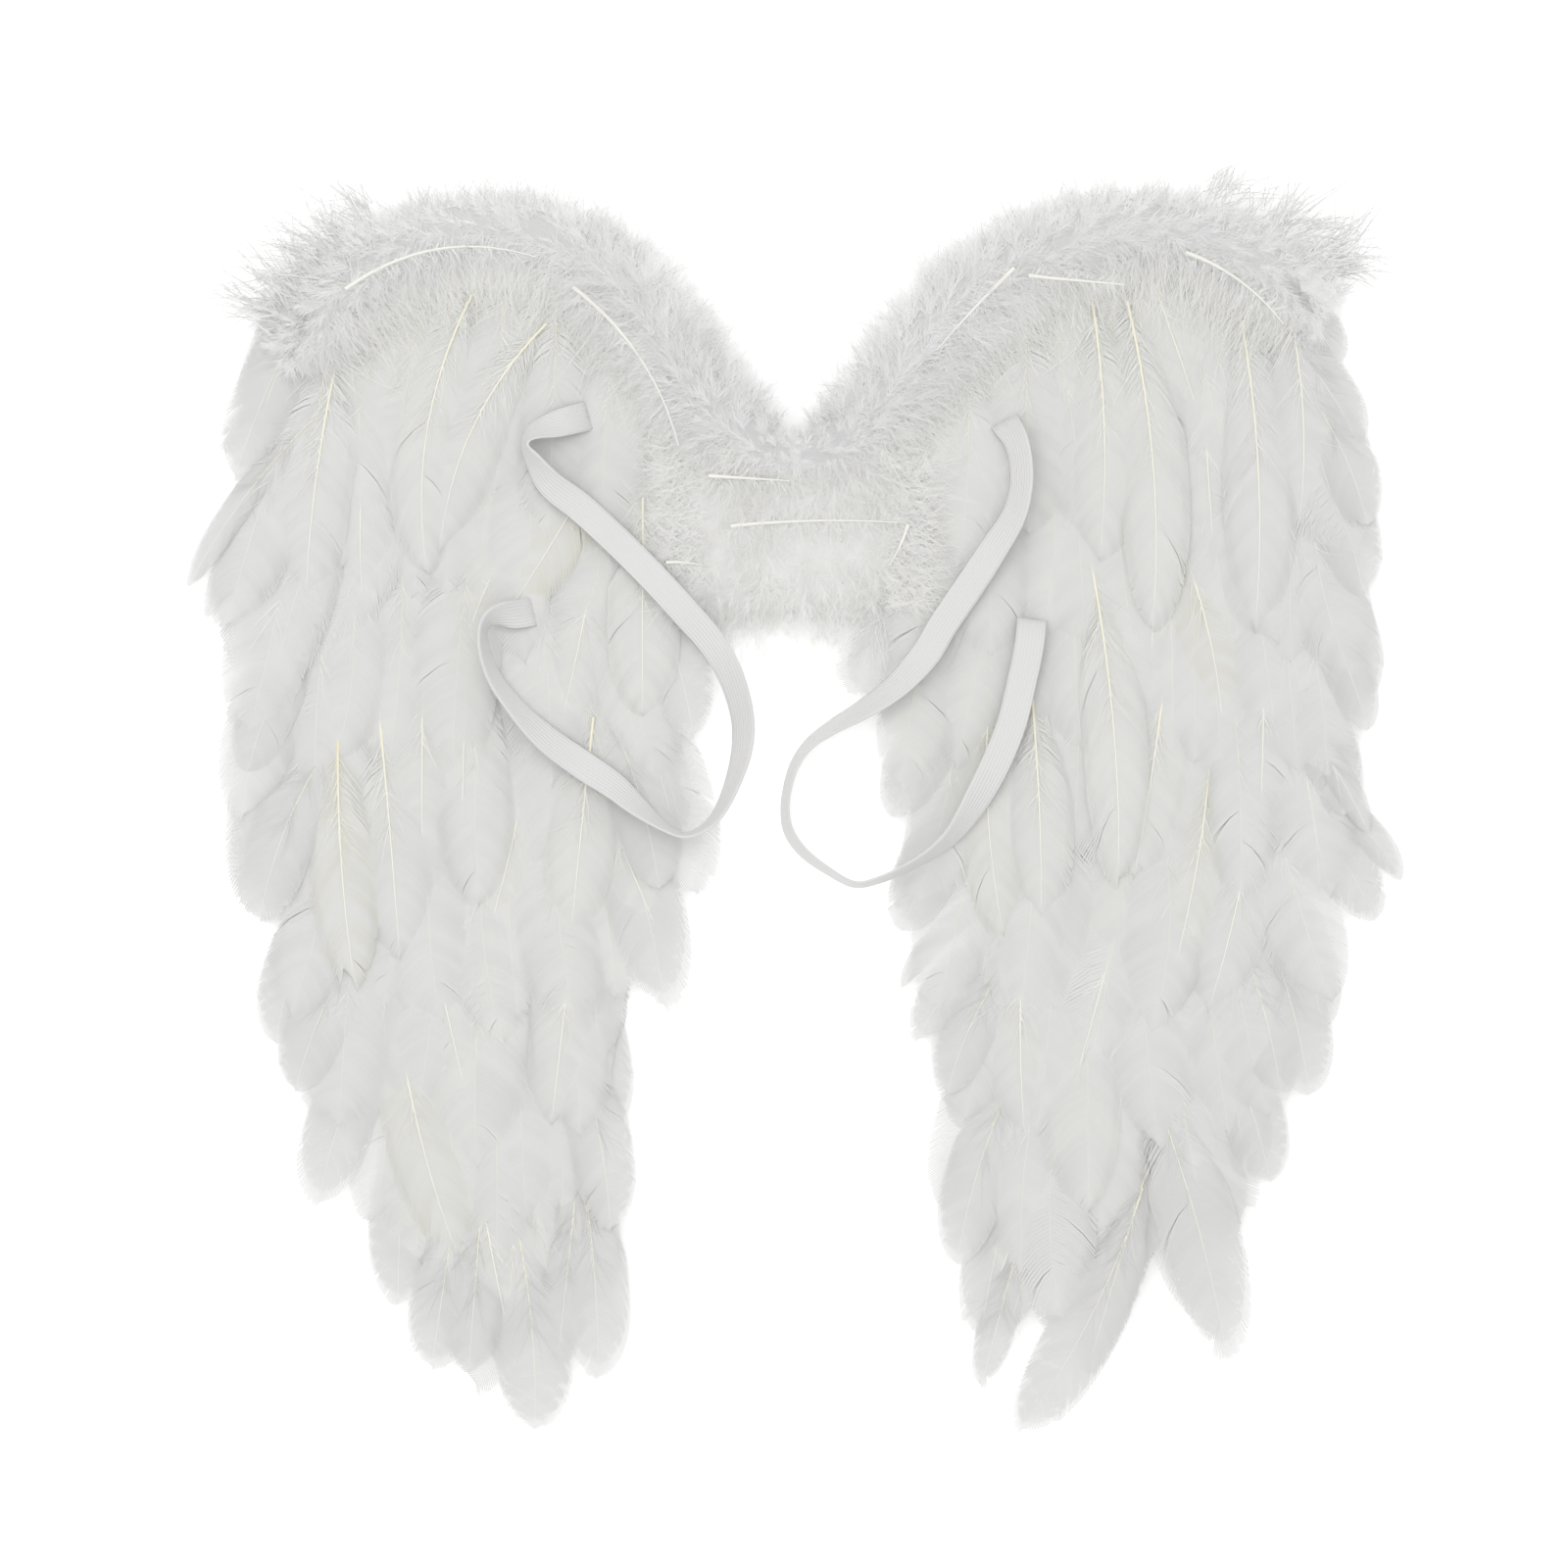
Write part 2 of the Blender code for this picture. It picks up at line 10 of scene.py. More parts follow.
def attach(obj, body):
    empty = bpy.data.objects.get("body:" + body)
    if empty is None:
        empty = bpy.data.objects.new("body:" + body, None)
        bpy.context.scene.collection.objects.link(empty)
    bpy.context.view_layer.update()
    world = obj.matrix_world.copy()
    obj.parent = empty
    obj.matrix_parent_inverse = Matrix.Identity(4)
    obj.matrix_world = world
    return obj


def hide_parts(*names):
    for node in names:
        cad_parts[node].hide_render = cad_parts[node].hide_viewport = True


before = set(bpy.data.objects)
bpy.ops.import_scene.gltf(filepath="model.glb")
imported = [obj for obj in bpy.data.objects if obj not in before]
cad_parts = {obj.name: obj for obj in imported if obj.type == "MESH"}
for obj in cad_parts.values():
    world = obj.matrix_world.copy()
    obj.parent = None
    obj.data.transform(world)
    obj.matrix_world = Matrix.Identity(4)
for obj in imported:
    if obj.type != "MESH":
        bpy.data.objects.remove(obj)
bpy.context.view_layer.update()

# Goose feathers. Each is a tapered quill with a vane on both sides, made of barbs that sweep
# towards the tip, part here and there and fray at the edge, and a tuft of down at its root.
# The quills are cream, ochre at the root, and the vanes are white and let light through.
#
# The wings lie flat with the wearer's side up. Tables give places in millimetres from the
# middle of the wings, X across the span and Y up the wings. MIDDLE is that point in the frame.
MIDDLE = np.array((0.00325, 0.00004))
MILLIMETRE = 0.001
UP = np.array((0.0, 0.0, 1.0))

VANE_WHITE = (0.86, 0.86, 0.86)
VANE_WARM = (0.88, 0.88, 0.85)
# Vanes grey towards this with their streaks, and the outline feathers also with painted shade.
VANE_SHADE = (0.80, 0.80, 0.79)
STAIN = (0.88, 0.83, 0.50)
QUILL_CREAM = (0.88, 0.85, 0.68)
QUILL_WHITE = (0.88, 0.88, 0.86)
QUILL_OCHRE = (0.72, 0.58, 0.30)
DOWN_WHITE = (0.98, 0.98, 0.98)
DOWN_CREAM = (0.98, 0.978, 0.945)
DOWN_SHADE = (0.82, 0.82, 0.81)
# Painted shade for loose hairs: they are drawn this grey so that the fine white hairs show grey
# against the bright floor, as backlit hairs do.
HAIR_PAINTED_SHADE = (0.70, 0.70, 0.69)

# Shares of the light that pass through
VANE_GLOW = 0.22
DOWN_GLOW = 0.50
HAIR_GLOW = 0.12

VANE_RIDGES = 0.22
RIDGE_HEIGHT = 0.0002
QUILL_RADIUS = 0.50 * MILLIMETRE
QUILL_TIP_RADIUS = 0.12 * MILLIMETRE
QUILL_SIDES = 5
QUILL_STEPS = 14
STRAND_STEPS = 3
POINTS_PER_STRAND = 2 * STRAND_STEPS + 1
STRAND_ROLL = 0.32
STRAND_TAPER = 0.6
STRAND_FLOOR = 0.0006


def add_object(name, data):
    item = bpy.data.objects.new(name, data)
    bpy.context.collection.objects.link(item)
    return item


# A part of a piece: its points, its faces as index arrays, the slot of its material, its
# numbers as {attribute: values}, and its normals where it has its own
Part = namedtuple("Part", "points faces slot numbers normals", defaults=(None,))


def new_piece(name, parts, materials):
    """One mesh that joins parts with the same attributes."""
    mesh = bpy.data.meshes.new(name)
    points = np.concatenate([part.points for part in parts])
    bases = np.cumsum([0] + [len(part.points) for part in parts])
    faces = [block + base for part, base in zip(parts, bases) for block in part.faces]
    slots = [np.full(len(block), part.slot) for part in parts for block in part.faces]
    corners = np.concatenate([block.ravel() for block in faces])
    sizes = np.concatenate([np.full(len(block), block.shape[1]) for block in faces])
    starts = np.concatenate(([0], np.cumsum(sizes)[:-1]))
    mesh.vertices.add(len(points))
    mesh.vertices.foreach_set("co", points.astype(np.float32).ravel())
    mesh.loops.add(len(corners))
    mesh.loops.foreach_set("vertex_index", corners.astype(np.int32))
    mesh.polygons.add(len(sizes))
    mesh.polygons.foreach_set("loop_start", starts.astype(np.int32))
    mesh.polygons.foreach_set("loop_total", sizes.astype(np.int32))
    mesh.polygons.foreach_set("material_index", np.concatenate(slots).astype(np.int32))
    mesh.polygons.foreach_set("use_smooth", np.ones(len(sizes), dtype=bool))
    for attribute in parts[0].numbers:
        values = np.concatenate([part.numbers[attribute] for part in parts])
        layer = mesh.attributes.new(attribute, "FLOAT", "POINT")
        layer.data.foreach_set("value", values.astype(np.float32))
    mesh.update()
    if parts[0].normals is not None:
        mesh.normals_split_custom_set_from_vertices(
            np.concatenate([part.normals for part in parts]))
    for material in materials:
        mesh.materials.append(material)
    return add_object(name, mesh)


def attribute_value(tree, name):
    node = tree.nodes.new("ShaderNodeAttribute")
    node.attribute_name = name
    return node.outputs["Fac"]


def mix_colors(tree, attribute, first, second):
    """Goes from the first colour or socket to the second by a number on the mesh."""
    factor = attribute_value(tree, attribute)
    node = tree.nodes.new("ShaderNodeMix")
    node.data_type = "RGBA"
    tree.links.new(factor, node.inputs["Factor"])
    for socket, value in ((node.inputs[6], first), (node.inputs[7], second)):
        if isinstance(value, tuple):
            socket.default_value = (*value, 1.0)
        else:
            tree.links.new(value, socket)
    return node.outputs[2]


def let_light_through(tree, color, share):
    """Mixes light that passes through the piece with what its surface sends back."""
    glow = tree.nodes.new("ShaderNodeBsdfTranslucent")
    tree.links.new(color, glow.inputs["Color"])
    both = tree.nodes.new("ShaderNodeMixShader")
    both.inputs["Fac"].default_value = share
    tree.links.new(tree.nodes["Principled BSDF"].outputs["BSDF"], both.inputs[1])
    tree.links.new(glow.outputs["BSDF"], both.inputs[2])
    tree.links.new(both.outputs["Shader"], tree.nodes["Material Output"].inputs["Surface"])


def new_material(name, settings):
    """A material whose shader has these settings."""
    material = bpy.data.materials.new(name)
    material.use_nodes = True
    shader = material.node_tree.nodes["Principled BSDF"]
    for setting, value in settings.items():
        shader.inputs[setting].default_value = value
    return material


def new_group(name, inputs, outputs):
    """A shader node group with its named sockets, and its nodes for what goes in and out."""
    group = bpy.data.node_groups.new(name, "ShaderNodeTree")
    for way, sockets in (("INPUT", inputs), ("OUTPUT", outputs)):
        for socket, kind in sockets.items():
            group.interface.new_socket(socket, in_out=way, socket_type=kind)
    return group, group.nodes.new("NodeGroupInput"), group.nodes.new("NodeGroupOutput")


def place_group(tree, group, values):
    """Puts a group in a material with the material's own values."""
    node = tree.nodes.new("ShaderNodeGroup")
    node.node_tree = group
    for socket, value in values.items():
        node.inputs[socket].default_value = value
    return node


def plumage_tint_group():
    """A white that the numbers on a mesh turn warm, stained, and greyer with streaks and painted
    shade.
    """
    color = "NodeSocketColor"
    group, given, made = new_group(
        "plumage_tint", {"White": color, "Warm White": color, "Shade": color}, {"Color": color})
    warm = mix_colors(group, "warmth", given.outputs["White"], given.outputs["Warm White"])
    streaked_and_shaded = mix_colors(group, "streak", warm, given.outputs["Shade"])
    group.links.new(mix_colors(group, "stain", streaked_and_shaded, STAIN), made.inputs["Color"])
    return group


def fine_ridges_group():
    """Fine ridges that follow the sine of a phase."""
    group, given, made = new_group(
        "fine_ridges", {"Phase": "NodeSocketFloat", "Strength": "NodeSocketFloat"},
        {"Normal": "NodeSocketVector"})
    wave = group.nodes.new("ShaderNodeMath")
    wave.operation = "SINE"
    bump = group.nodes.new("ShaderNodeBump")
    bump.inputs["Distance"].default_value = RIDGE_HEIGHT
    group.links.new(given.outputs["Phase"], wave.inputs[0])
    group.links.new(given.outputs["Strength"], bump.inputs["Strength"])
    group.links.new(wave.outputs[0], bump.inputs["Height"])
    group.links.new(bump.outputs["Normal"], made.inputs["Normal"])
    return group


PLUMAGE_TINT = plumage_tint_group()
FINE_RIDGES = fine_ridges_group()


def add_ridges(tree, attribute, strength):
    ridges = place_group(tree, FINE_RIDGES, {"Strength": strength})
    tree.links.new(attribute_value(tree, attribute), ridges.inputs["Phase"])
    tree.links.new(ridges.outputs["Normal"], tree.nodes["Principled BSDF"].inputs["Normal"])


def plumage_material(name, settings, white, warm_white, shade, glow):
    """A soft white surface that lets a share of the light through."""
    material = new_material(name, settings)
    tree = material.node_tree
    tint = place_group(tree, PLUMAGE_TINT, {
        "White": (*white, 1.0), "Warm White": (*warm_white, 1.0), "Shade": (*shade, 1.0)})
    tree.links.new(tint.outputs["Color"], tree.nodes["Principled BSDF"].inputs["Base Color"])
    let_light_through(tree, tint.outputs["Color"], glow)
    return material


def quill_material():
    """Cream that fades to white towards the tip, and ochre where it is stained."""
    material = new_material("feather_quill", {"Roughness": 0.38})
    tree = material.node_tree
    fade = mix_colors(tree, "along", QUILL_CREAM, QUILL_WHITE)
    color = mix_colors(tree, "stain", fade, QUILL_OCHRE)
    tree.links.new(color, tree.nodes["Principled BSDF"].inputs["Base Color"])
    return material


VANE = plumage_material(
    "feather_vane", {"Roughness": 0.62, "Sheen Weight": 0.12, "Sheen Roughness": 0.5},
    VANE_WHITE, VANE_WARM, VANE_SHADE, VANE_GLOW)
add_ridges(VANE.node_tree, "barb", VANE_RIDGES)
QUILL = quill_material()
SOFT = {"Roughness": 0.85, "Sheen Weight": 0.1}
DOWN = plumage_material("down", SOFT, DOWN_WHITE, DOWN_CREAM, DOWN_SHADE, DOWN_GLOW)
HAIR = plumage_material("down_hair", SOFT, DOWN_WHITE, DOWN_CREAM, HAIR_PAINTED_SHADE, HAIR_GLOW)


def unit(vectors):
    return vectors / np.maximum(np.linalg.norm(vectors, axis=-1, keepdims=True), 1e-9)


def raised(plan, height):
    """Plan points at their heights."""
    return np.concatenate((plan, height[..., None]), axis=-1)


def either_side(dice, shape):
    """-1 or 1 at random."""
    return np.where(dice.random(shape) < 0.5, -1.0, 1.0)


def scatter(dice, count, size, upright=1.0):
    """Random vectors, with a share of their upright part."""
    return dice.normal(0.0, size, (count, 3)) * (1, 1, upright)


def tube_quads(rings, sides):
    """The faces between rings of points."""
    ring = np.arange(rings - 1)[:, None] * sides
    here = np.arange(sides)
    onward = (here + 1) % sides
    return np.stack((ring + here, ring + onward, ring + onward + sides, ring + here + sides),
                    axis=-1).reshape(-1, 4)


def flat_strands(roots, directions, lengths, bends, width):
    """Strands of one width whose flats are turned up, as make_strands takes them."""
    facing = np.broadcast_to(UP, roots.shape)
    return [roots, directions, lengths, bends, facing, np.full(len(roots), width)]


def make_strands(roots, directions, lengths, bends, facing, widths, dice):
    """Tapered ribbons that bend as they go and turn their flats to facing.

    Gives their points, their faces and a soft normal for each point."""
    flat = unit(np.cross(directions, facing))
    lifted = unit(np.cross(flat, directions))
    roll = np.clip(dice.normal(0.0, STRAND_ROLL, len(roots)), -1.0, 1.0)[:, None]
    aside = flat * np.cos(roll) - lifted * np.sin(roll)
    own = lifted * np.cos(roll) + flat * np.sin(roll)
    rows = []
    for k in range(STRAND_STEPS + 1):
        s = k / STRAND_STEPS
        centre = roots + directions * (lengths * s)[:, None] + bends * (lengths * s * s)[:, None]
        centre[:, 2] = np.maximum(centre[:, 2], STRAND_FLOOR)
        if k == STRAND_STEPS:
            rows.append(centre)
            break
        reach = aside * (widths * (1 - STRAND_TAPER * s) / 2)[:, None]
        rows += [centre - reach, centre + reach]
    points = np.stack(rows, axis=1).reshape(-1, 3)
    base = np.arange(len(roots))[:, None] * POINTS_PER_STRAND
    quads = np.concatenate([base + np.array((2 * k, 2 * k + 1, 2 * k + 3, 2 * k + 2))
                            for k in range(STRAND_STEPS - 1)])
    last = 2 * (STRAND_STEPS - 1)
    ends = base + np.array((last, last + 1, last + 2))
    normals = np.repeat(unit(facing * 0.8 + own * 0.2), POINTS_PER_STRAND, axis=0)
    return points, [quads, ends], normals


# A feather's plan: where its quill starts and ends, how far the quill bows to the side, the
# widths of its two vanes, the barbs in a vane, how ragged it is, its warmth and stain, the
# thickness of its quill, how far its edges droop, the height of the surface it lies on, and
# how much painted shade greys its vanes.
Feather = namedtuple(
    "Feather", "root tip bow left right barbs ragged warmth stain quill droop height shade",
    defaults=(0.0,))


def vane_outline(along):
    """Half width of a vane, as a share, from the root at 0 to the tip at 1."""
    rise = np.clip(along / 0.45, 0.0, 1.0)
    swell = 0.42 + 0.58 * rise * rise * (3 - 2 * rise)
    past = np.clip((along - 0.56) / 0.44, 0.0, 1.0)
    return swell * np.clip(1 - past ** 2.5, 0.0, 1.0) ** 0.55


def quill_place(feather, along, out):
    """Plan points at shares along a feather's quill, pushed out to its right."""
    root, tip = np.array(feather.root), np.array(feather.tip)
    run = tip - root
    side = np.array((run[1], -run[0])) / np.linalg.norm(run)
    middle = (root + tip) / 2 + side * feather.bow * 2
    a = along[..., None]
    place = (1 - a) ** 2 * root + 2 * a * (1 - a) * middle + a ** 2 * tip
    heading = unit(2 * (1 - a) * (middle - root) + 2 * a * (tip - middle))
    across = np.stack((heading[..., 1], -heading[..., 0]), axis=-1)
    return place + across * out[..., None]


def tip_sink(feather, along):
    """How far a feather's tip has come down to the layer below it."""
    return feather.droop * np.clip((along - 0.50) / 0.50, 0.0, 1.2) ** 2


# A vane's barbs, as shares of the feather's length where nothing else is said. Ragged feathers
# have more splits and their clumps of barbs drift farther apart.
VANE_START = 0.04
BARB_STEPS = 3
BARB_SWEEP = 0.17
BARB_TILT = 0.09 * MILLIMETRE
RIDGE_PITCH = 0.5 * MILLIMETRE
SPLIT_CHANCE = 0.01
RAGGED_SPLIT_CHANCE = 0.035
CLUMP_DRIFT = 0.008
RAGGED_CLUMP_DRIFT = 0.02
CLUMP_LIFT = 0.30 * MILLIMETRE
DOWNY_SHARE = 0.25
DOWNY_DRIFT = 0.06
DOWNY_LIFT = 0.5 * MILLIMETRE


def make_vane(feather, side, dice):
    """Points, quads and shading numbers of the vane on one side, 1 for the right."""
    width = feather.right if side > 0 else feather.left
    count = feather.barbs
    ragged = feather.ragged
    length = math.dist(feather.root, feather.tip)

    # Where each barb starts on the quill and ends, and how much of it is left
    start = VANE_START + (1 - VANE_START) * np.linspace(0.0, 1.0, count + 1)
    end = start + BARB_SWEEP * (1 - start ** 6)
    reach = 1 - ragged * (0.14 + 0.30 * start[:-1] ** 4) * dice.random(count) ** 3

    # Barbs cling together in clumps, and are loose near the root
    splits = dice.random(count) < SPLIT_CHANCE + RAGGED_SPLIT_CHANCE * ragged
    clump = np.cumsum(splits)
    spread = CLUMP_DRIFT + RAGGED_CLUMP_DRIFT * ragged
    drift = dice.normal(0.0, spread, clump[-1] + 1)[clump]
    lift = dice.normal(0.0, CLUMP_LIFT, clump[-1] + 1)[clump]
    downy = np.clip(1 - start[:-1] / DOWNY_SHARE, 0.0, 1.0)
    drift = drift + downy * dice.normal(0.0, DOWNY_DRIFT, count)
    lift = lift + downy * dice.normal(0.0, DOWNY_LIFT, count)

    # Both edges of each barb, from the quill outwards
    step = np.linspace(0.0, 1.0, BARB_STEPS + 1)
    share = reach[:, None] * step
    rows = []
    for edge in (0, 1):
        fray = 1 - edge * (0.06 + (0.2 + 0.3 * ragged) * step ** 5 + 0.45 * downy[:, None])
        first, last = start[:-1, None], end[:-1, None]
        first = first + edge * fray * (start[1:, None] - first)
        last = last + edge * fray * (end[1:, None] - last)
        along = first + (last - first) * share ** 1.35 + drift[:, None] * share ** 2
        tip_width = vane_outline(np.clip(last, 0.0, 1.0))
        out = side * width * tip_width * (1 - (1 - share) ** 1.25)
        plan = quill_place(feather, along, out)
        rise = lift[:, None] * share ** 1.5 - 0.5 * feather.droop * share ** 2
        rise = rise - tip_sink(feather, along)
        rise = rise + (0.5 - edge) * BARB_TILT * (0.3 + share)
        rows.append(raised(plan, feather.height(plan[..., 0], plan[..., 1]) + rise))
    points = np.stack(rows, axis=1)

    number = np.arange(count)[:, None, None] * 2 * (BARB_STEPS + 1)
    k = np.arange(BARB_STEPS)[:, None]
    corner = np.array((0, BARB_STEPS + 1, BARB_STEPS + 2, 1))
    if side < 0:
        corner = corner[::-1]
    quads = (number + k + corner).reshape(-1, 4)

    barb = np.arange(count)[:, None, None] + np.array((0.0, 1.0))[:, None]
    barb = np.broadcast_to(barb * length / count / RIDGE_PITCH, points.shape[:3])
    along = np.broadcast_to(start[:-1, None, None], points.shape[:3])
    mottle = np.convolve(dice.random(count + 4), np.ones(5) / 5, mode="valid")
    mottle = np.clip(1.8 * (mottle - 0.5) + 0.35 + 0.25 * dice.random(count), 0.0, 1.0)
    streak = mottle[:, None, None] * (0.4 + 0.6 * step)
    streak = np.broadcast_to(streak, points.shape[:3])
    return points.reshape(-1, 3), quads, {
        "barb": barb.ravel() * 2 * math.pi, "along": along.ravel(), "streak": streak.ravel()}


def make_quill(feather):
    """Points, quads and shares along of the tapered quill that stands proud of the vane."""
    along = np.linspace(-0.03, 0.94, QUILL_STEPS + 1)
    fade = np.clip(along, 0.0, 1.0) ** 0.8
    radius = (QUILL_RADIUS + (QUILL_TIP_RADIUS - QUILL_RADIUS) * fade) * feather.quill
    turn = np.arange(QUILL_SIDES) * 2 * math.pi / QUILL_SIDES
    out = radius[:, None] * np.cos(turn)
    plan = quill_place(feather, np.broadcast_to(along[:, None], out.shape), out)
    centre = feather.height(plan[..., 0], plan[..., 1])
    centre = centre + (0.4 * radius - tip_sink(feather, along))[:, None]
    points = raised(plan, centre + radius[:, None] * np.sin(turn))
    quads = tube_quads(QUILL_STEPS + 1, QUILL_SIDES)
    return points.reshape(-1, 3), quads, np.repeat(along, QUILL_SIDES)


TUFT_STRANDS = 26
BROAD_TUFT = 3
TUFT_LIFT = 0.5 * MILLIMETRE


def make_tuft(feather, dice):
    """Points, faces and streaks, greyed with the hairs' painted shade, of the loose down towards a
    feather's root.
    """
    count = TUFT_STRANDS * (BROAD_TUFT if feather.quill > 1 else 1)
    along = 0.02 + 0.44 * dice.random(count)
    plan = quill_place(feather, along, np.zeros(count))
    run = unit(np.array(feather.tip) - np.array(feather.root))
    turn = either_side(dice, count) * (0.25 + 0.65 * dice.random(count))
    directions = np.stack((
        run[0] * np.cos(turn) - run[1] * np.sin(turn),
        run[0] * np.sin(turn) + run[1] * np.cos(turn),
        0.06 * dice.random(count)), axis=1)
    roots = raised(plan, feather.height(plan[:, 0], plan[:, 1]) + TUFT_LIFT)
    bends = scatter(dice, count, 0.25, 0.1) + (*(0.35 * run), 0.0)
    lengths = (7 + 11 * dice.random(count)) * MILLIMETRE
    widths = (0.20 + 0.18 * dice.random(count)) * MILLIMETRE
    points, faces, _ = make_strands(roots, unit(directions), lengths, bends,
                                    np.broadcast_to(UP, roots.shape), widths, dice)
    return points, faces, np.repeat(0.2 + 0.5 * dice.random(count), POINTS_PER_STRAND)


def make_feathers(name, feathers, dice, tufts=True):
    """One piece that holds a row's feathers."""
    parts = []
    for feather in feathers:
        shapes = []
        for side in (-1, 1):
            points, quads, shading = make_vane(feather, side, dice)
            shapes.append((points, [quads], 0, shading))
        points, quads, along = make_quill(feather)
        shapes.append((points, [quads], 1, {"along": along}))
        if tufts:
            points, blocks, streak = make_tuft(feather, dice)
            shapes.append((points, blocks, 2, {"streak": streak}))
        for points, blocks, slot, shading in shapes:
            zeros = np.zeros(len(points))
            along = np.clip(shading.get("along", zeros), 0.0, 1.0)
            streak = shading.get("streak", zeros)
            root = np.clip(1 - along / 0.30, 0.0, 1.0)
            spread = (0.8 * streak * (1 + root), root, 0.6 + zeros)[slot]
            # A feather's painted shade (the outline feathers have it) is added to the streaks of
            # its vanes.
            parts.append(Part(points, blocks, slot, {
                "along": along, "barb": shading.get("barb", zeros),
                "streak": np.clip(streak + feather.shade, 0.0, 1.0),
                "warmth": np.clip(feather.warmth + 0.15 * root, 0.0, 1.0),
                "stain": np.clip(feather.stain * spread, 0.0, 1.0)}))
    return new_piece(name, parts, [VANE, QUILL, HAIR])


# The wearer's side. Eight rows of feathers hang from each wing, each row over the roots of the
# one below. The rows follow the arch of the wing at the top and level out towards the tip.
HALF_SPAN = 0.248
WING_LENGTH = 0.513
FEATHER_WIDTH = 0.034
FEATHER_LENGTH = 0.088
SEAM_DEPTH = 0.0335
ROW_PITCH = 0.052
ROW_COUNT = 8
ARCH_HALF_WIDTH = 0.076
BED_HEIGHT = 0.0073
LAYER_STEP = 0.0028
# Painted shade on the outline feathers: this share greys their vanes, so that, lying alone over the
# bright floor with light coming through them, they look no brighter than the layered feathers.
PLUME_PAINTED_SHADE = 0.55

Row = namedtuple("Row", "inner outer feathers length belly lean_inner lean_outer")
Wing = namedtuple("Wing", "name side apex sag rows quills plumes")

# A quill that shows from its base past its middle to its end, each an x and a y, and how
# far it is stained
Quill = namedtuple("Quill", "x0 y0 x1 y1 x2 y2 stain", defaults=(0.0,))

# A feather that makes the wing's outline: its root, its tip, its bow and its width
Plume = namedtuple("Plume", "x0 y0 x1 y1 bow width")

LEFT_ROWS = (
    Row(0.30, 0.84, 7, 1.02, 0.05, 2, 18),
    Row(0.27, 0.84, 7, 1.04, 0.05, 2, 10),
    Row(0.27, 0.82, 7, 1.00, 0.08, -14, 9),
    Row(0.27, 0.79, 7, 1.00, 0.10, -11, 9),
    Row(0.33, 0.75, 6, 1.00, 0.12, -9, 8),
    Row(0.38, 0.72, 6, 0.98, 0.16, -5, 8),
    Row(0.40, 0.68, 5, 0.90, 0.22, -3, 4),
    Row(0.42, 0.58, 4, 0.86, 0.20, -3, 0),
)

RIGHT_ROWS = (
    Row(0.28, 0.84, 7, 1.02, 0.05, 2, 12),
    Row(0.27, 0.85, 7, 1.04, 0.05, 0, 8),
    Row(0.27, 0.84, 7, 1.00, 0.08, -8, 8),
    Row(0.28, 0.82, 7, 1.02, 0.10, -10, 12),
    Row(0.31, 0.78, 6, 1.02, 0.12, -11, 10),
    Row(0.35, 0.73, 6, 1.00, 0.16, -10, 10),
    Row(0.37, 0.67, 5, 0.94, 0.16, -11, 8),
    Row(0.39, 0.52, 3, 0.60, 0.20, -9, 4),
)

LEFT_QUILLS = [Quill(*row) for row in (
    (-189, 169, -197, 118, -198, 95), (-174, 162, -177, 131, -176, 93),
    (-134, 199, -148, 165, -148, 105), (-69, 158, -87, 126, -112, 86, 0.35),
    (-106, 188, -130, 156, -140, 112), (-62, 80, -62, 64, -62, 48), (-86, 80, -89, 60, -94, 40),
    (-135, 57, -135, 26, -136, -5), (-109, 24, -116, -19, -125, -49, 0.30),
    (-186, 17, -186, -8, -180, -63, 0.25), (-169, 29, -165, -12, -162, -52),
    (-152, 31, -152, 10, -152, -11), (-148, -61, -141, -89, -136, -112),
    (-162, -85, -154, -131, -140, -174, 0.20), (-128, -66, -128, -79, -130, -92),
    (-94, -85, -96, -103, -98, -120), (-122, -189, -120, -202, -117, -215),
    (-74, -13, -64, -33, -57, -52), (-86, -2, -88, -21, -90, -41),
    (-116, 104, -126, 88, -133, 66, 0.75),
)]

RIGHT_QUILLS = [Quill(*row) for row in (
    (122, 196, 126, 162, 124, 111), (137, 195, 145, 152, 145, 83), (182, 195, 188, 158, 187, 81),
    (200, 205, 206, 182, 205, 125), (156, 184, 160, 174, 163, 164),
    (167, 177, 168, 147, 171, 108), (158, 100, 168, 73, 172, 42, 0.30),
    (122, 89, 129, 42, 131, -20), (146, 79, 146, 68, 145, 57), (191, 42, 191, 21, 190, -1),
    (82, 56, 78, 19, 85, -42, 0.15), (98, 16, 100, -9, 100, -34), (147, 24, 144, 2, 140, -20),
    (170, 27, 165, -20, 153, -70, 0.20), (187, -3, 182, -34, 171, -74),
    (131, -51, 124, -79, 116, -107), (94, -72, 92, -99, 94, -125),
    (123, -83, 112, -116, 107, -149, 0.15), (137, -92, 134, -117, 128, -143),
    (92, -168, 88, -181, 83, -194), (152, -149, 159, -175, 167, -201),
)]

LEFT_PLUMES = [Plume(*row) for row in (
    (-193, 206, -220, 150, -6, 30), (-203, 188, -229, 132, -5, 26), (-212, 136, -248, 88, -5, 12),
    (-210, 122, -240, 76, -4, 16), (-204, 88, -219, 50, -4, 24), (-206, 52, -223, 14, -4, 24),
    (-200, 0, -218, -46, -5, 28), (-195, -52, -212, -98, -5, 26), (-186, -76, -204, -118, -4, 26),
    (-177, -116, -194, -163, -5, 28), (-161, -156, -162, -204, 0, 26),
    (-142, -188, -148, -230, 0, 26), (-130, -192, -133, -232, 0, 24),
    (-110, -204, -106, -256, 3, 32), (-92, -184, -97, -230, 0, 20), (-84, -180, -80, -234, 2, 28),
    (-88, -160, -82, -206, 3, 26), (-84, -124, -75, -174, 3, 26), (-86, -88, -77, -134, 3, 28),
    (-86, -56, -80, -104, 2, 25), (-73, -16, -53, -83, 6, 32), (-70, 16, -55, -36, 4, 28),
    (-66, 34, -49, -12, 4, 24), (-56, 78, -41, 27, 3, 26),
)]

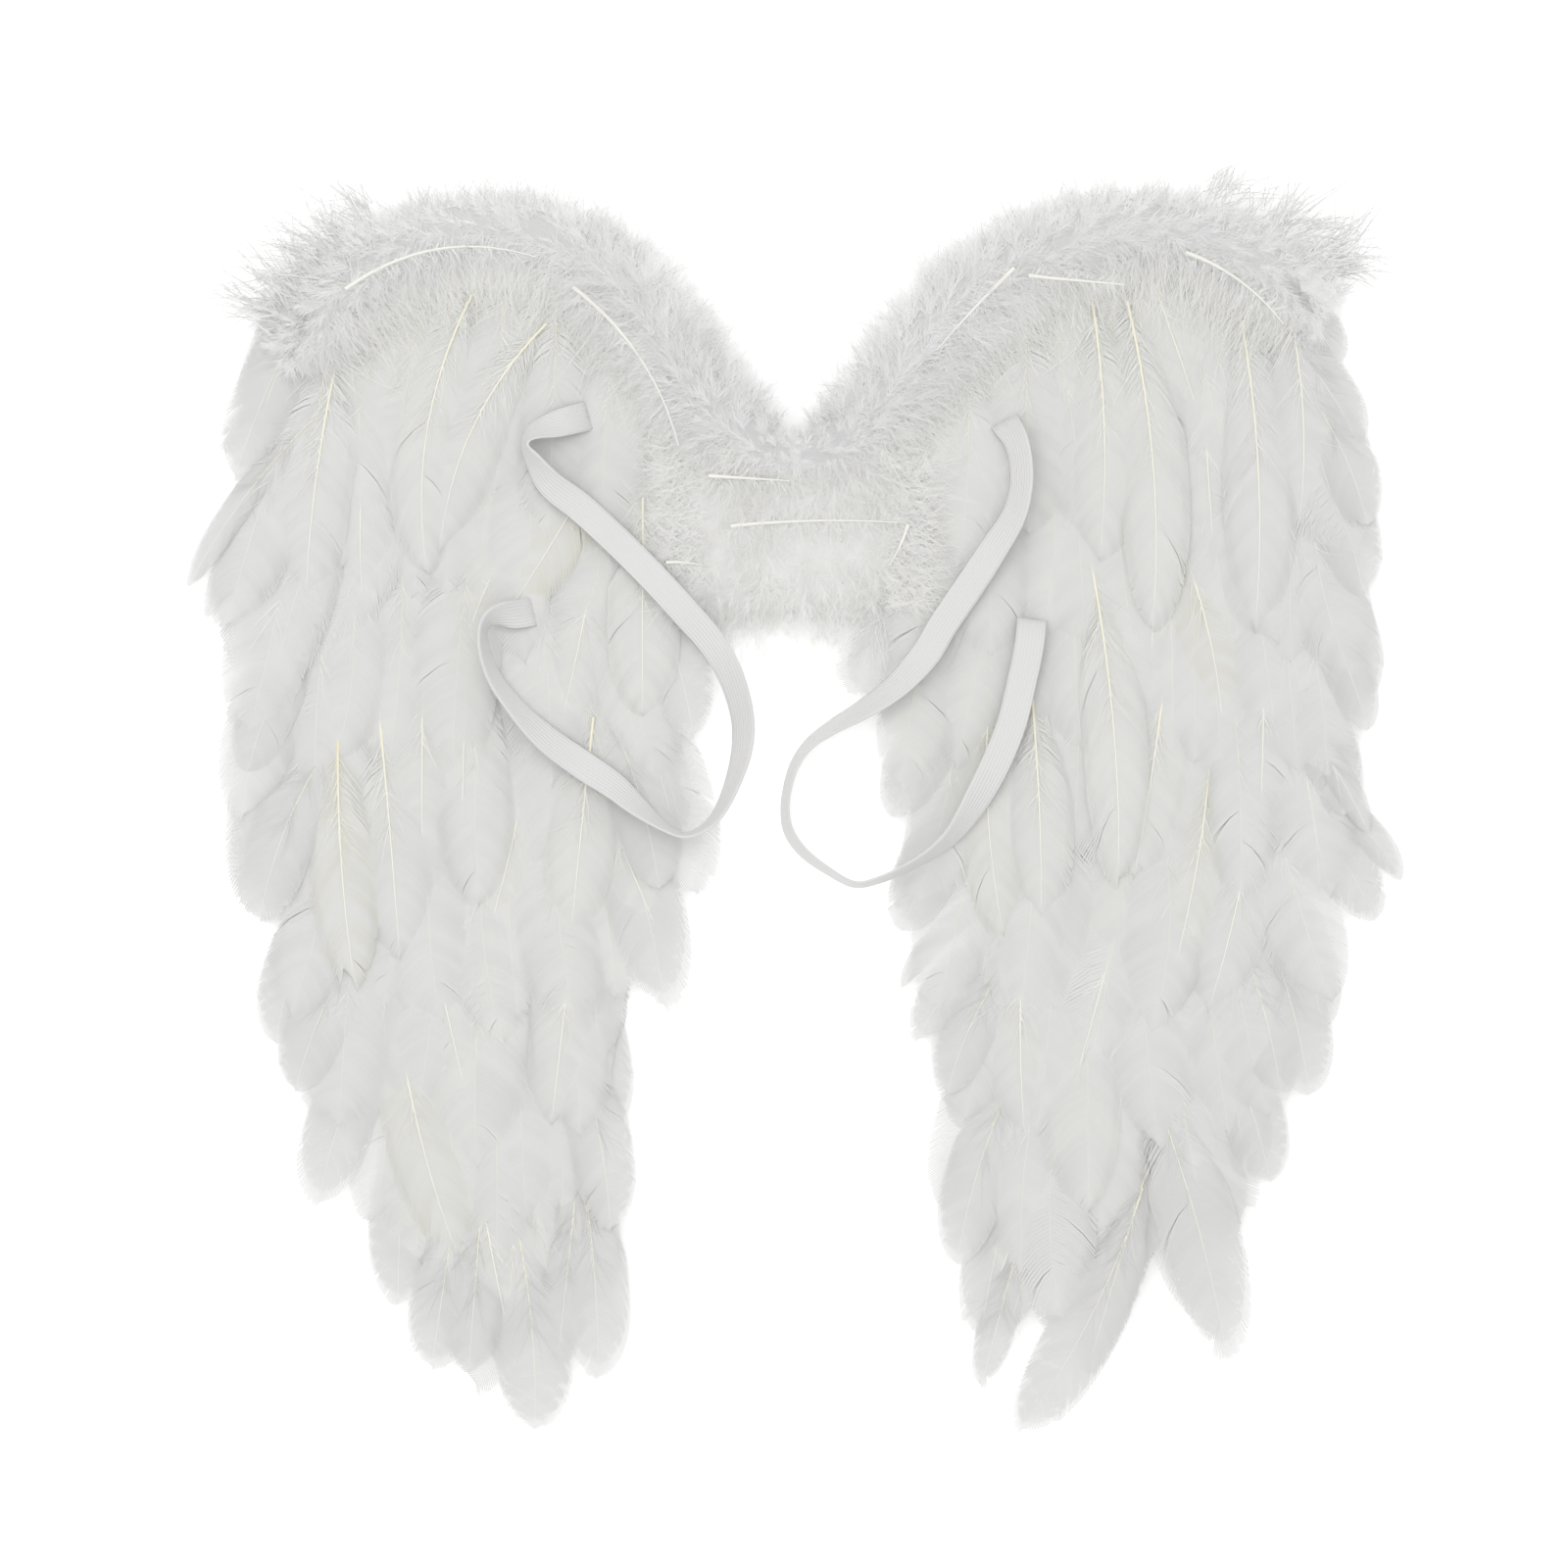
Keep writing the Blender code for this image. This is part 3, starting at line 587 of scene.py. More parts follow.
RIGHT_PLUMES = [Plume(*row) for row in (
    (62, 56, 38, 30, 0, 22), (63, 36, 40, -5, -3, 26), (64, -12, 44, -52, -3, 26),
    (80, -48, 44, -75, -12, 10), (72, -68, 50, -97, -4, 20), (80, -80, 62, -118, -4, 22),
    (84, -94, 68, -133, -4, 24), (82, -136, 66, -188, -4, 26), (88, -168, 76, -218, -3, 26),
    (86, -200, 76, -237, 0, 16), (103, -164, 87, -215, 0, 18), (126, -190, 92, -256, 6, 29),
    (136, -176, 119, -232, 0, 20), (140, -152, 134, -208, 0, 20), (155, -149, 176, -225, 4, 33),
    (174, -104, 184, -152, 3, 28), (180, -112, 194, -155, 3, 26), (186, -72, 198, -117, 3, 26),
    (198, -72, 210, -119, 3, 28), (198, -44, 216, -92, 4, 26), (207, -8, 237, -47, 6, 26),
    (216, -4, 248, -31, 8, 14), (212, 22, 234, -12, 4, 12), (211, 36, 224, -5, 4, 24),
    (216, 74, 234, 30, 3, 20), (219, 84, 232, 40, 4, 25), (217, 130, 232, 85, 4, 26),
    (212, 158, 234, 113, 6, 24), (208, 178, 230, 147, 4, 22), (204, 200, 222, 180, 4, 20),
)]

WINGS = (
    Wing("left", -1, 0.506, 0.0518, LEFT_ROWS, LEFT_QUILLS, LEFT_PLUMES),
    Wing("right", 1, 0.565, 0.0400, RIGHT_ROWS, RIGHT_QUILLS, RIGHT_PLUMES),
)


def arch_drop(wing, x):
    return wing.sag * ((abs(x) - wing.apex * HALF_SPAN) / ARCH_HALF_WIDTH) ** 2


def row_phase(wing, x, y):
    """The row number, whole and part, whose root line runs through a point of the plan."""
    drop = arch_drop(wing, x)
    depth = WING_LENGTH / 2 - y
    return np.maximum(0.0, (depth - SEAM_DEPTH - drop) / (ROW_PITCH - drop / ROW_COUNT))


def row_root(wing, number, u):
    x = u * HALF_SPAN
    depth = SEAM_DEPTH + number * ROW_PITCH + arch_drop(wing, x) * (1 - number / ROW_COUNT)
    return np.array((wing.side * x, WING_LENGTH / 2 - depth))


def nearest_row(wing, root):
    return int(np.clip(round(float(row_phase(wing, *root))), 0, ROW_COUNT - 1))


def wearer_height(wing, number, lift):
    """Height of a row on the wearer's side, which rises over the rows below it."""
    def height(x, y):
        phase = row_phase(wing, x - MIDDLE[0], y - MIDDLE[1])
        return BED_HEIGHT + LAYER_STEP * np.clip(phase - number, -0.3, 2.4) + lift
    return height


def inner_warmth(root):
    """How warm the white is: most in the middle of a wing, none at its outer edges."""
    from_edge = min(abs(root[0]) / 0.05, (HALF_SPAN - abs(root[0])) / 0.09, 1.0)
    return 0.75 * max(0.0, from_edge) * min(1.0, max(0.0, (root[1] + 0.27) / 0.12))


ROW_BARBS = (84, 64)
ROW_DROOP = 2.6 * MILLIMETRE
FREE_LEAN = 4.0


def row_spots(row):
    """The feathers of a row: an upper layer, 0, and a thinner one between them below, 1.

    Gives the layer, the feather's number in it, its share of the row and its u."""
    for layer in (0, 1):
        for k in range(row.feathers - layer):
            share = (k + layer / 2) / (row.feathers - 1)
            yield layer, k, share, row.inner + (row.outer - row.inner) * share


def feather_heading(wing, row, share, own_lean):
    """The way that a feather of a row points: the row leans, and it leans a little by itself."""
    lean = row.lean_inner + (row.lean_outer - row.lean_inner) * share
    lean = math.radians(wing.side * (lean + own_lean))
    return np.array((math.sin(lean), -math.cos(lean)))


def row_feathers(wing, number, dice):
    """The even feathers of a row on the wearer's side."""
    row = wing.rows[number]
    result = []
    for layer, k, share, u in row_spots(row):
        root = row_root(wing, number, u)
        within = min(share, 1 - share, 0.25) / 0.25
        slide = float(np.clip(dice.normal(0.0, 0.008), -0.012, 0.012)) * within
        if number == 0:
            slide = 0.004 + abs(slide) / 2
        heading = feather_heading(wing, row, share, dice.normal(0.0, FREE_LEAN))
        root = root + heading * slide + (dice.normal(0.0, 0.003), 0.0)
        length = FEATHER_LENGTH * row.length * (1 + row.belly * math.sin(math.pi * share))
        length *= 1 + dice.normal(0.0, 0.08) * within
        tip = root + length * heading
        width = FEATHER_WIDTH * (1.02 + dice.normal(0.0, 0.10)) / 2
        skew = dice.normal(0.0, 0.10)
        lift = (0.6 * (k % 2) - 0.7 * layer + 0.3 * dice.random()) * MILLIMETRE
        result.append(Feather(
            root + MIDDLE, tip + MIDDLE, dice.normal(0.0, 0.004),
            width * (1 + skew), width * (1 - skew), ROW_BARBS[layer],
            0.25 + 0.5 * dice.random(), inner_warmth(root) * (0.6 + 0.4 * dice.random()),
            0.0, 0.5, ROW_DROOP, wearer_height(wing, number, lift)))
    return result


# The feathers of the outline lie in two layers, with their roots under the row above
PLUME_HIDDEN = 0.45
PLUME_BARBS = (92, 80)
PLUME_QUILL = 0.8
PLUME_DROOP = 0.5 * MILLIMETRE
PLUME_GAP = 0.9 * MILLIMETRE


def plume_feathers(wing, plume, dice):
    """The two feathers, one on the other, of a place in the outline, and their row."""
    root = np.array((plume.x0, plume.y0)) * MILLIMETRE
    tip = np.array((plume.x1, plume.y1)) * MILLIMETRE
    root = root - (tip - root) * PLUME_HIDDEN
    number = nearest_row(wing, root)
    width = plume.width * MILLIMETRE / 2
    lift = (0.3 + 0.5 * dice.random()) * MILLIMETRE
    result = []
    for under in (1, 0):
        ease = 1 - 0.05 * under
        result.append(Feather(
            root + MIDDLE, root + (tip - root) * ease + MIDDLE,
            -0.7 * plume.bow * MILLIMETRE, width * ease, width * ease, PLUME_BARBS[under],
            0.15 + 0.4 * dice.random(), 0.0, 0.0, PLUME_QUILL, PLUME_DROOP,
            wearer_height(wing, number, lift - PLUME_GAP * under), PLUME_PAINTED_SHADE))
    return result, number


# The feathers whose quills show reach past both ends of what shows
LEAST_HIDDEN = 0.006
QUILLED_LENGTH = 0.074
QUILLED_TIP = 0.012
QUILLED_BARBS = 96
QUILLED_QUILL = 1.45
QUILLED_DROOP = 3.2 * MILLIMETRE


def quill_course(quill):
    """The base, the end, the length, the heading and the bow of what shows of a quill."""
    base, middle, end = (np.array(pair) * MILLIMETRE
                         for pair in (quill[:2], quill[2:4], quill[4:6]))
    length = np.linalg.norm(end - base)
    heading = (end - base) / length
    bow = float(np.dot(middle - (base + end) / 2, (heading[1], -heading[0])))
    return base, end, length, heading, bow


def quilled_feather(wing, k, quill, dice):
    """The feather whose quill shows at these points, and its row."""
    base, end, shown, heading, bow = quill_course(quill)
    tip = end + heading * QUILLED_TIP
    root = base - heading * max(LEAST_HIDDEN, QUILLED_LENGTH - shown)
    number = nearest_row(wing, root)
    width = FEATHER_WIDTH * (0.80 + 0.12 * dice.random()) / 2
    return Feather(
        root + MIDDLE, tip + MIDDLE, bow, width, width * 0.95, QUILLED_BARBS,
        0.20 + 0.35 * dice.random(), inner_warmth(root), quill.stain, QUILLED_QUILL,
        QUILLED_DROOP,
        wearer_height(wing, number, (1.0 + 0.4 * (k % 2)) * MILLIMETRE)), number


row_pieces = {}
for wing in WINGS:
    for number in range(ROW_COUNT):
        dice = np.random.default_rng(100 * (wing.side + 2) + number)
        row_pieces[wing.name, number] = row_feathers(wing, number, dice)
    dice = np.random.default_rng(7 + wing.side)
    for plume in wing.plumes:
        feathers, number = plume_feathers(wing, plume, dice)
        row_pieces[wing.name, number] += feathers
    for k, quill in enumerate(wing.quills):
        feather, number = quilled_feather(wing, k, quill, dice)
        row_pieces[wing.name, number].append(feather)

for (side_name, number), feathers in row_pieces.items():
    node = f"{side_name}_feather_row_{number + 1}"
    piece = make_feathers(node + "_vanes", feathers, np.random.default_rng(number + 31))
    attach(piece, "root")
    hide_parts(node)


# The show side, hidden against the surface: four plain rows of longer feathers on each wing,
# whose tips come down to the surface. Its root lines run under every other row above.
SHOW_LENGTH = 0.125
SHOW_ROW_SPAN = 2
SHOW_LEAD = 0.005
SHOW_TOP = 0.0048
SHOW_FLOOR = 0.0006
SHOW_BARBS = 60
SHOW_FREE_LEAN = 2.0
SHOW_WARMTH = 0.2
SHOW_QUILL = 0.8

SHOW_ROWS = (
    Row(0.30, 0.80, 7, 0.96, 0.00, 2, 11),
    Row(0.31, 0.81, 7, 0.98, 0.05, -2, 7),
    Row(0.37, 0.74, 6, 0.92, 0.08, -3, 6),
    Row(0.42, 0.56, 4, 0.76, 0.12, -3, 1),
)


def show_height(wing, number, lift):
    """Height of a row on the show side, whose tips come down to the surface."""
    def height(x, y):
        phase = row_phase(wing, x - MIDDLE[0], y - MIDDLE[1]) / SHOW_ROW_SPAN - number
        return np.maximum(SHOW_TOP - LAYER_STEP * phase - lift, SHOW_FLOOR)
    return height


for wing in WINGS:
    for number, row in enumerate(SHOW_ROWS):
        dice = np.random.default_rng(500 + 10 * wing.side + number)
        feathers = []
        for layer, k, share, u in row_spots(row):
            root = row_root(wing, number * SHOW_ROW_SPAN, u)
            root[1] -= SHOW_LEAD
            heading = feather_heading(wing, row, share, dice.normal(0.0, SHOW_FREE_LEAN))
            length = SHOW_LENGTH * row.length * (1 + row.belly * math.sin(math.pi * share))
            width = FEATHER_WIDTH * (1.05 + dice.normal(0.0, 0.05)) / 2
            lift = (0.6 * (k % 2) - 0.5 * layer) * MILLIMETRE
            feathers.append(Feather(
                root + MIDDLE, root + length * heading + MIDDLE, dice.normal(0.0, 0.002),
                width, width, SHOW_BARBS, 0.2 + 0.3 * dice.random(), SHOW_WARMTH, 0.0,
                SHOW_QUILL, 0.0, show_height(wing, number, lift)))
        node = f"{wing.name}_show_row_{number + 1}"
        piece = make_feathers(node + "_vanes", feathers, dice, tufts=False)
        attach(piece, "root")
        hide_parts(node)


# The down trim. Marabou runs along the top edge of each wing from the shoulder over the arch
# into the valley: fine plumes set close on a cord, each with soft barbs on both sides, which
# stand out past the edge and lie over the roots of the first row. A few of their stems show.
TRIM_WIDTH = 0.028
TRIM_HEIGHT = 0.028
SEAM_LEAD = 0.04
VALLEY_DEPTH = 0.1275
WISP_WIDTH = 0.42 * MILLIMETRE
TRIM_STREAK = 0.05
# Loose hairs take up to this share of their painted shade.
LOOSE_PAINTED_SHADE = 1.0

# The trim is thinner at the shoulder, and fills out over the first part of its run
TRIM_END = 0.75
TRIM_END_RUN = 0.10

# How far the hairs may reach from the middle of the wings' box, across and up
WIDEST_HAIR = 0.258
HIGHEST_HAIR = 0.262

# The trim's inner edge across the valley, as shares of the half span and the valley's depth
LEFT_VALLEY = ((0.235, 0.64), (0.185, 0.77), (0.135, 0.88), (0.075, 0.97), (0.000, 1.00))
RIGHT_VALLEY = ((0.238, 0.60), (0.200, 0.73), (0.130, 0.90), (0.065, 0.98), (0.000, 1.00))

LEFT_STEMS = (
    Quill(-180, 210, -144, 225, -100, 220),
    Quill(-88, 208, -66, 186, -46, 140),
)

RIGHT_STEMS = (
    Quill(88, 216, 74, 202, 56, 182),
    Quill(96, 214, 116, 212, 136, 210),
    Quill(160, 223, 186, 208, 200, 192),
)

# How far the barbs reach, against their usual length, from the shoulder to the middle
LEFT_REACH = (
    (0.0, 0.65), (0.06, 0.9), (0.14, 1.15), (0.22, 1.0), (0.32, 0.8), (0.45, 0.95), (0.60, 1.4),
    (0.80, 1.25), (0.92, 0.6), (1.0, 0.45),
)
RIGHT_REACH = (
    (0.0, 0.7), (0.08, 0.9), (0.20, 0.85), (0.32, 0.85), (0.45, 1.2), (0.60, 1.45),
    (0.80, 1.1), (0.92, 0.6), (1.0, 0.45),
)

# A wing's trim with the u of the shoulder where it starts
TRIMS = (
    (WINGS[0], 0.800, LEFT_VALLEY, LEFT_STEMS, LEFT_REACH),
    (WINGS[1], 0.840, RIGHT_VALLEY, RIGHT_STEMS, RIGHT_REACH),
)

SEAM_POINTS = 121
PATH_POINTS = 601
SMOOTHING_ROUNDS = 6


def run_along(plan):
    """How far along a line each of its points is."""
    return np.concatenate(([0.0], np.cumsum(np.linalg.norm(np.diff(plan, axis=0), axis=1))))


def spaced(line, count):
    """Evenly spaced points on a line, whose first two columns are its plan."""
    run = run_along(line[:, :2])
    even = np.linspace(0.0, run[-1], count)
    return np.stack([np.interp(even, run, column) for column in line.T], axis=1)


def seam_path(wing, shoulder, valley):
    """Even points along the trim's inner edge, from the shoulder to the middle."""
    inner = valley[0][0] + SEAM_LEAD
    line = [row_root(wing, 0, u) for u in np.linspace(shoulder, inner, 25)]
    line += [np.array((wing.side * u * HALF_SPAN, WING_LENGTH / 2 - VALLEY_DEPTH * share))
             for u, share in valley]
    path = spaced(np.array(line), SEAM_POINTS)
    for _ in range(SMOOTHING_ROUNDS):
        path[1:-1] = (path[:-2] + 2 * path[1:-1] + path[2:]) / 4
    fine = np.linspace(0.0, SEAM_POINTS - 1, PATH_POINTS)
    return np.stack([np.interp(fine, np.arange(SEAM_POINTS), column) for column in path.T], axis=1)


# The body under the barbs, as shares of the trim's width and height
CORE_TURNS = 16
CORE_WIDTH = 0.78
CORE_HEIGHT = 0.58
CORE_STRIDE = 5
CORE_LIFT = 0.001


def trim_core(path, outward, side):
    """A soft round body under the barbs, as points, quads and normals."""
    angle = np.arange(CORE_TURNS) * 2 * math.pi / CORE_TURNS
    ends = np.clip(np.arange(len(path)) / 10, 0.2, 1.0)
    ring = np.zeros((len(path), CORE_TURNS, 3))
    swell = 0.5 + 0.5 * np.cos(angle)
    ring[..., :2] = path[:, None] + outward[:, None] * (
        CORE_WIDTH * TRIM_WIDTH * swell * ends[:, None])[..., None]
    ring[..., 2] = (
        CORE_HEIGHT * TRIM_HEIGHT / 2 * ends[:, None] * (1 + np.sin(angle)) + CORE_LIFT)
    normals = np.zeros((len(path), CORE_TURNS, 3))
    normals[..., :2] = 0.4 * outward[:, None] * np.cos(angle)[:, None]
    normals[..., 2] = 0.6 + 0.4 * np.sin(angle)
    quads = tube_quads(len(path), CORE_TURNS)
    if side > 0:
        quads = quads[:, ::-1]
    return ring.reshape(-1, 3), quads, unit(normals.reshape(-1, 3))


def make_plumes(roots, headings, facing, lengths, per_plume, spread, barb_length, dice):
    """The barbs of soft plumes, as make_strands takes them."""
    count = len(roots)
    along = dice.random((count, per_plume)) ** 0.8
    side = either_side(dice, (count, per_plume))
    sideways = unit(np.cross(headings, facing))
    starts = roots[:, None] + headings[:, None] * (along * lengths[:, None])[..., None]
    fan = (spread * (1.05 - 0.75 * along) * side)[..., None]
    tangle = scatter(dice, count * per_plume, 0.30, 0.5).reshape(fan.shape[:2] + (3,))
    directions = unit(headings[:, None] + fan * sideways[:, None] + tangle)
    curl = scatter(dice, count * per_plume, 0.22).reshape(tangle.shape)
    curl = curl - 0.25 * fan * sideways[:, None]
    size = barb_length * (0.5 + 0.7 * dice.random((count, per_plume))) * (1.1 - 0.5 * along)
    widths = (0.15 + 0.13 * dice.random(count * per_plume)) * MILLIMETRE
    return [starts.reshape(-1, 3), directions.reshape(-1, 3), size.ravel(),
            curl.reshape(-1, 3), np.repeat(facing, per_plume, axis=0), widths]


def down_piece(name, node, core, layers, soft_streak, dice):
    """One piece of down: a soft body and layers of strands on it.

    A layer has its strands, whether they are loose hairs, and how warm their white is."""
    points, quads, normals = core
    numbers = {"warmth": np.zeros(len(points)), "streak": np.full(len(points), soft_streak / 2)}
    parts = [Part(points, [quads], 0, numbers, normals)]
    for strands, loose, warm in layers:
        points, blocks, normals = make_strands(*strands, dice)
        count = len(points) // POINTS_PER_STRAND
        # Loose hairs grey at random up to the whole of their painted shade; the other strands get
        # soft streaks.
        most = {"warmth": warm, "streak": LOOSE_PAINTED_SHADE if loose else soft_streak}
        numbers = {key: np.repeat(value * dice.random(count) ** 0.5, POINTS_PER_STRAND)
                   for key, value in most.items()}
        parts.append(Part(points, blocks, int(loose), numbers, normals))
    piece = new_piece(name, parts, [DOWN, HAIR])
    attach(piece, "root")
    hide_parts(node)


STEM_THICKNESS = 1.9
STEM_WHITE = 0.75
STEM_BARB_PITCH = 0.45 * MILLIMETRE


def make_stems(name, stems, height, dice):
    """Bare stems that lie on the down, each with short soft barbs along its sides."""
    parts = []
    for stem in stems:
        base, end, length, heading, bow = quill_course(stem)
        feather = Feather(base + MIDDLE, end + MIDDLE, bow, 0.0, 0.0, 0, 0.0, 0.0, 0.0,
                          STEM_THICKNESS, 0.0, height)
        stem_points, quads, along = make_quill(feather)
        count = round(length / STEM_BARB_PITCH)
        at = 0.85 * dice.random(count) ** 1.3
        plan = quill_place(feather, at, np.zeros(count))
        roots = raised(plan, height(plan[:, 0], plan[:, 1]))
        side = either_side(dice, count)[:, None]
        across = np.array((heading[1], -heading[0], 0.0))
        directions = unit(side * across + (0, 0, -0.12) + (*heading * 0.5, 0.0)
                          + scatter(dice, count, 0.25, 0.3))
        lengths = 0.004 + 0.006 * dice.random(count)
        barb_points, blocks, _ = make_strands(*flat_strands(
            roots, directions, lengths, scatter(dice, count, 0.3, 0.2), 0.5 * WISP_WIDTH), dice)
        for points, faces, slot, white in (
                (stem_points, [quads], 0, np.clip(along, STEM_WHITE, 1.0)),
                (barb_points, blocks, 1, np.full(len(barb_points), STEM_WHITE))):
            parts.append(Part(points, faces, slot, {
                "along": white, "warmth": np.full(len(points), 0.3),
                "stain": np.zeros(len(points)), "streak": np.full(len(points), 0.2)}))
    piece = new_piece(name, parts, [QUILL, HAIR])
    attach(piece, "root")


def keep_within(roots, directions, bends, lengths):
    """Shortens the strands whose ends would pass the farthest hairs at the sides and the top."""
    for axis, farthest in ((0, WIDEST_HAIR), (1, HIGHEST_HAIR)):
        room = np.maximum(farthest - np.abs(roots[:, axis]), 0.002)
        move = np.sign(roots[:, axis]) * (directions + bends)[:, axis]
        lengths = np.minimum(lengths, room / np.maximum(move, 0.01))
    return lengths


# A trim's path with the way out of the wing and the way along it, flat and in space, how far
# its barbs reach and how thick it is
Trim = namedtuple("Trim", "path outward out run reach thin")

OUTER_PLUMES = 471
INNER_PLUMES = 289
BARBS_PER_PLUME = 32
PLUME_FAN = 0.95
PLUME_WARMTH = 0.10


def trim_plumes(trim, count, low, high, barb_length, rise, dice):
    """Plumes on a part of the cord's round, from 0 at the outside to 1 at the inside."""
    k = dice.integers(0, len(trim.path), count)
    turn = math.pi * (low + (high - low) * dice.random(count))[:, None]
    radial = trim.out[k] * np.cos(turn) + UP * np.sin(turn)
    centre = raised(trim.path[k] + trim.outward[k] * TRIM_WIDTH * 0.39,
                    trim.thin[k] * TRIM_HEIGHT * 0.33)
    roots = centre + radial * trim.thin[k, None] * (TRIM_WIDTH * 0.30)
    lay = -trim.run[k] * (0.1 + 0.3 * dice.random((count, 1)) + 0.9 * np.sin(turn) ** 3)
    headings = radial * (1, 1, rise) + trim.out[k] * np.cos(turn) * 0.6 + lay
    headings = unit(headings + scatter(dice, count, 0.22))
    lengths = (0.005 + 0.006 * dice.random(count)) * trim.reach[k]
    plumes = make_plumes(roots, headings, unit(radial * 0.20 + UP), lengths, BARBS_PER_PLUME,
                         PLUME_FAN, barb_length, dice)
    plumes[2] *= np.repeat(trim.reach[k], BARBS_PER_PLUME)
    plumes[3][:, 2] -= 0.12
    return plumes


WISPS_PER_TRIM = 250
WISP_GROUPS = 80


def shoulder_wisps(trim, dice):
    """Long wisps that stray from the shoulder in small groups."""
    count = WISPS_PER_TRIM
    member = dice.integers(0, WISP_GROUPS, count)
    k = (len(trim.path) * (0.01 + 0.21 * dice.random(WISP_GROUPS))).astype(int)[member]
    k = k + dice.integers(0, 10, count)
    group = np.clip(scatter(dice, WISP_GROUPS, 0.30), -0.6, 0.6)[member]
    out = TRIM_WIDTH * (0.9 + 0.35 * dice.random((count, 1)))
    roots = raised(trim.path[k] + trim.outward[k] * out,
                   TRIM_HEIGHT * (0.2 + 0.3 * dice.random(count)))
    directions = unit(trim.out[k] - trim.run[k] * 0.35 + group * (1, 1, 0.2)
                      + np.clip(scatter(dice, count, 0.14), -0.3, 0.3) * (1, 1, 0.4))
    bends = group[:, ::-1] * (1.1, 1.1, 0.1) + scatter(dice, count, 0.20, 0.2)
    lengths = keep_within(roots, directions, bends, 0.014 + 0.020 * dice.random(count))
    return flat_strands(roots, directions, lengths, bends, 1.2 * WISP_WIDTH)


INNER_STRANDS = 2600
INNER_GROUPS = 150
INNER_WARMTH = 0.7


def inner_barbs(trim, dice):
    """Barbs that run from the crest down over the roots of the first row."""
    count = INNER_STRANDS
    k = dice.integers(10, len(trim.path), count)
    member = dice.integers(0, INNER_GROUPS, count)
    group = scatter(dice, INNER_GROUPS, 0.30)[member]
    stretch = (0.7 + 0.9 * dice.random(INNER_GROUPS) ** 2)[member]
    step = dice.random(count)
    roots = raised(trim.path[k] + trim.outward[k] * (0.008 - 0.018 * step)[:, None],
                   0.0190 * trim.thin[k] ** 0.5 - 0.0085 * step)
    inward = raised(-trim.outward[k], -0.30 - 0.10 * dice.random(count))
    directions = unit(inward + group * (1, 1, 0.1) + scatter(dice, count, 0.2, 0.2))
    bends = group[:, ::-1] * (0.8, 0.8, 0.0) + (0.0, 0.0, 0.12)
    lengths = (0.010 + 0.014 * dice.random(count)) * stretch
    return flat_strands(roots, directions, lengths, bends, 0.8 * WISP_WIDTH)


HAIRS_PER_TRIM = 1500
HAIR_GROUPS = 300


def outline_hairs(trim, dice):
    """Fine curved hairs along the outline."""
    count = HAIRS_PER_TRIM
    k = dice.integers(0, len(trim.path) - 30, count)
    member = (k // 2 + dice.integers(0, 4, count)) % HAIR_GROUPS
    group = np.clip(scatter(dice, HAIR_GROUPS, 0.35), -0.6, 0.6)[member]
    roots = raised(trim.path[k] + trim.outward[k] * TRIM_WIDTH * 0.80,
                   TRIM_HEIGHT * (0.2 + 0.35 * dice.random(count)))
    directions = unit(trim.out[k] - trim.run[k] * 0.2 + group * (1, 1, 0.2)
                      + scatter(dice, count, 0.30, 0.3))
    bends = group[:, ::-1] * (1.2, 1.2, 0.1) + scatter(dice, count, 0.40, 0.2)
    bends = np.clip(bends, -0.8, 0.8)
    lengths = (0.008 + 0.010 * dice.random(count) ** 1.6) * np.minimum(trim.reach[k], 1.1)
    lengths = keep_within(roots, directions, bends, lengths)
    return flat_strands(roots, directions, lengths, bends, 0.7 * WISP_WIDTH)


STEM_HEIGHT = 0.0203
STEM_RISE = 0.25
STEM_RISE_RUN = 0.012


def stem_height(path):
    """The height of the down under the stems, which rises away from the seam."""
    def height(x, y):
        nearest = np.min(np.hypot(np.asarray(x)[..., None] - path[:, 0],
                                  np.asarray(y)[..., None] - path[:, 1]), axis=-1)
        return STEM_HEIGHT + STEM_RISE * np.minimum(nearest, STEM_RISE_RUN)
    return height


for wing, shoulder, valley, stems, reach in TRIMS:
    dice = np.random.default_rng(900 + wing.side)
    path = seam_path(wing, shoulder, valley) + MIDDLE
    heading = unit(np.gradient(path, axis=0))
    outward = np.stack((heading[:, 1], -heading[:, 0]), axis=1) * wing.side
    level = np.zeros(len(path))
    filled = TRIM_END + (1 - TRIM_END) / TRIM_END_RUN
    trim = Trim(path, outward, raised(outward, level), raised(heading, level),
                np.interp(np.linspace(0.0, 1.0, len(path)), *zip(*reach)),
                np.clip(np.linspace(TRIM_END, filled, len(path)), 0.0, 1.0))
    core = trim_core(path[::CORE_STRIDE], outward[::CORE_STRIDE], wing.side)
    layers = [
        (trim_plumes(trim, OUTER_PLUMES, 0.02, 0.62, 0.010, 0.40, dice), False, PLUME_WARMTH),
        (trim_plumes(trim, INNER_PLUMES, 0.55, 0.97, 0.015, 0.25, dice), False, PLUME_WARMTH),
        (shoulder_wisps(trim, dice), True, 0.0),
        (inner_barbs(trim, dice), False, INNER_WARMTH),
        (outline_hairs(trim, dice), True, 0.0),
    ]
    down_piece(wing.name + "_marabou", wing.name + "_down_trim", core, layers, TRIM_STREAK, dice)
    make_stems(wing.name + "_marabou_stems", stems, stem_height(path[::CORE_STRIDE]), dice)


# The bridge. A pad covered in down joins the wings under the valley. Its barbs lie flat, run
# over the roots of the wings and hang off its lower edge in a fringe. A few stems show, and
# one small loose feather hangs from the lower edge.
BRIDGE_WIDTH = 0.104
BRIDGE_THICKNESS = 0.016
BRIDGE_TOP_LAP = 0.008
BRIDGE_BOTTOM = WING_LENGTH / 2 - 0.185
BRIDGE_COLUMNS = 25
BRIDGE_RANKS = 15
BRIDGE_STREAK = 0.06

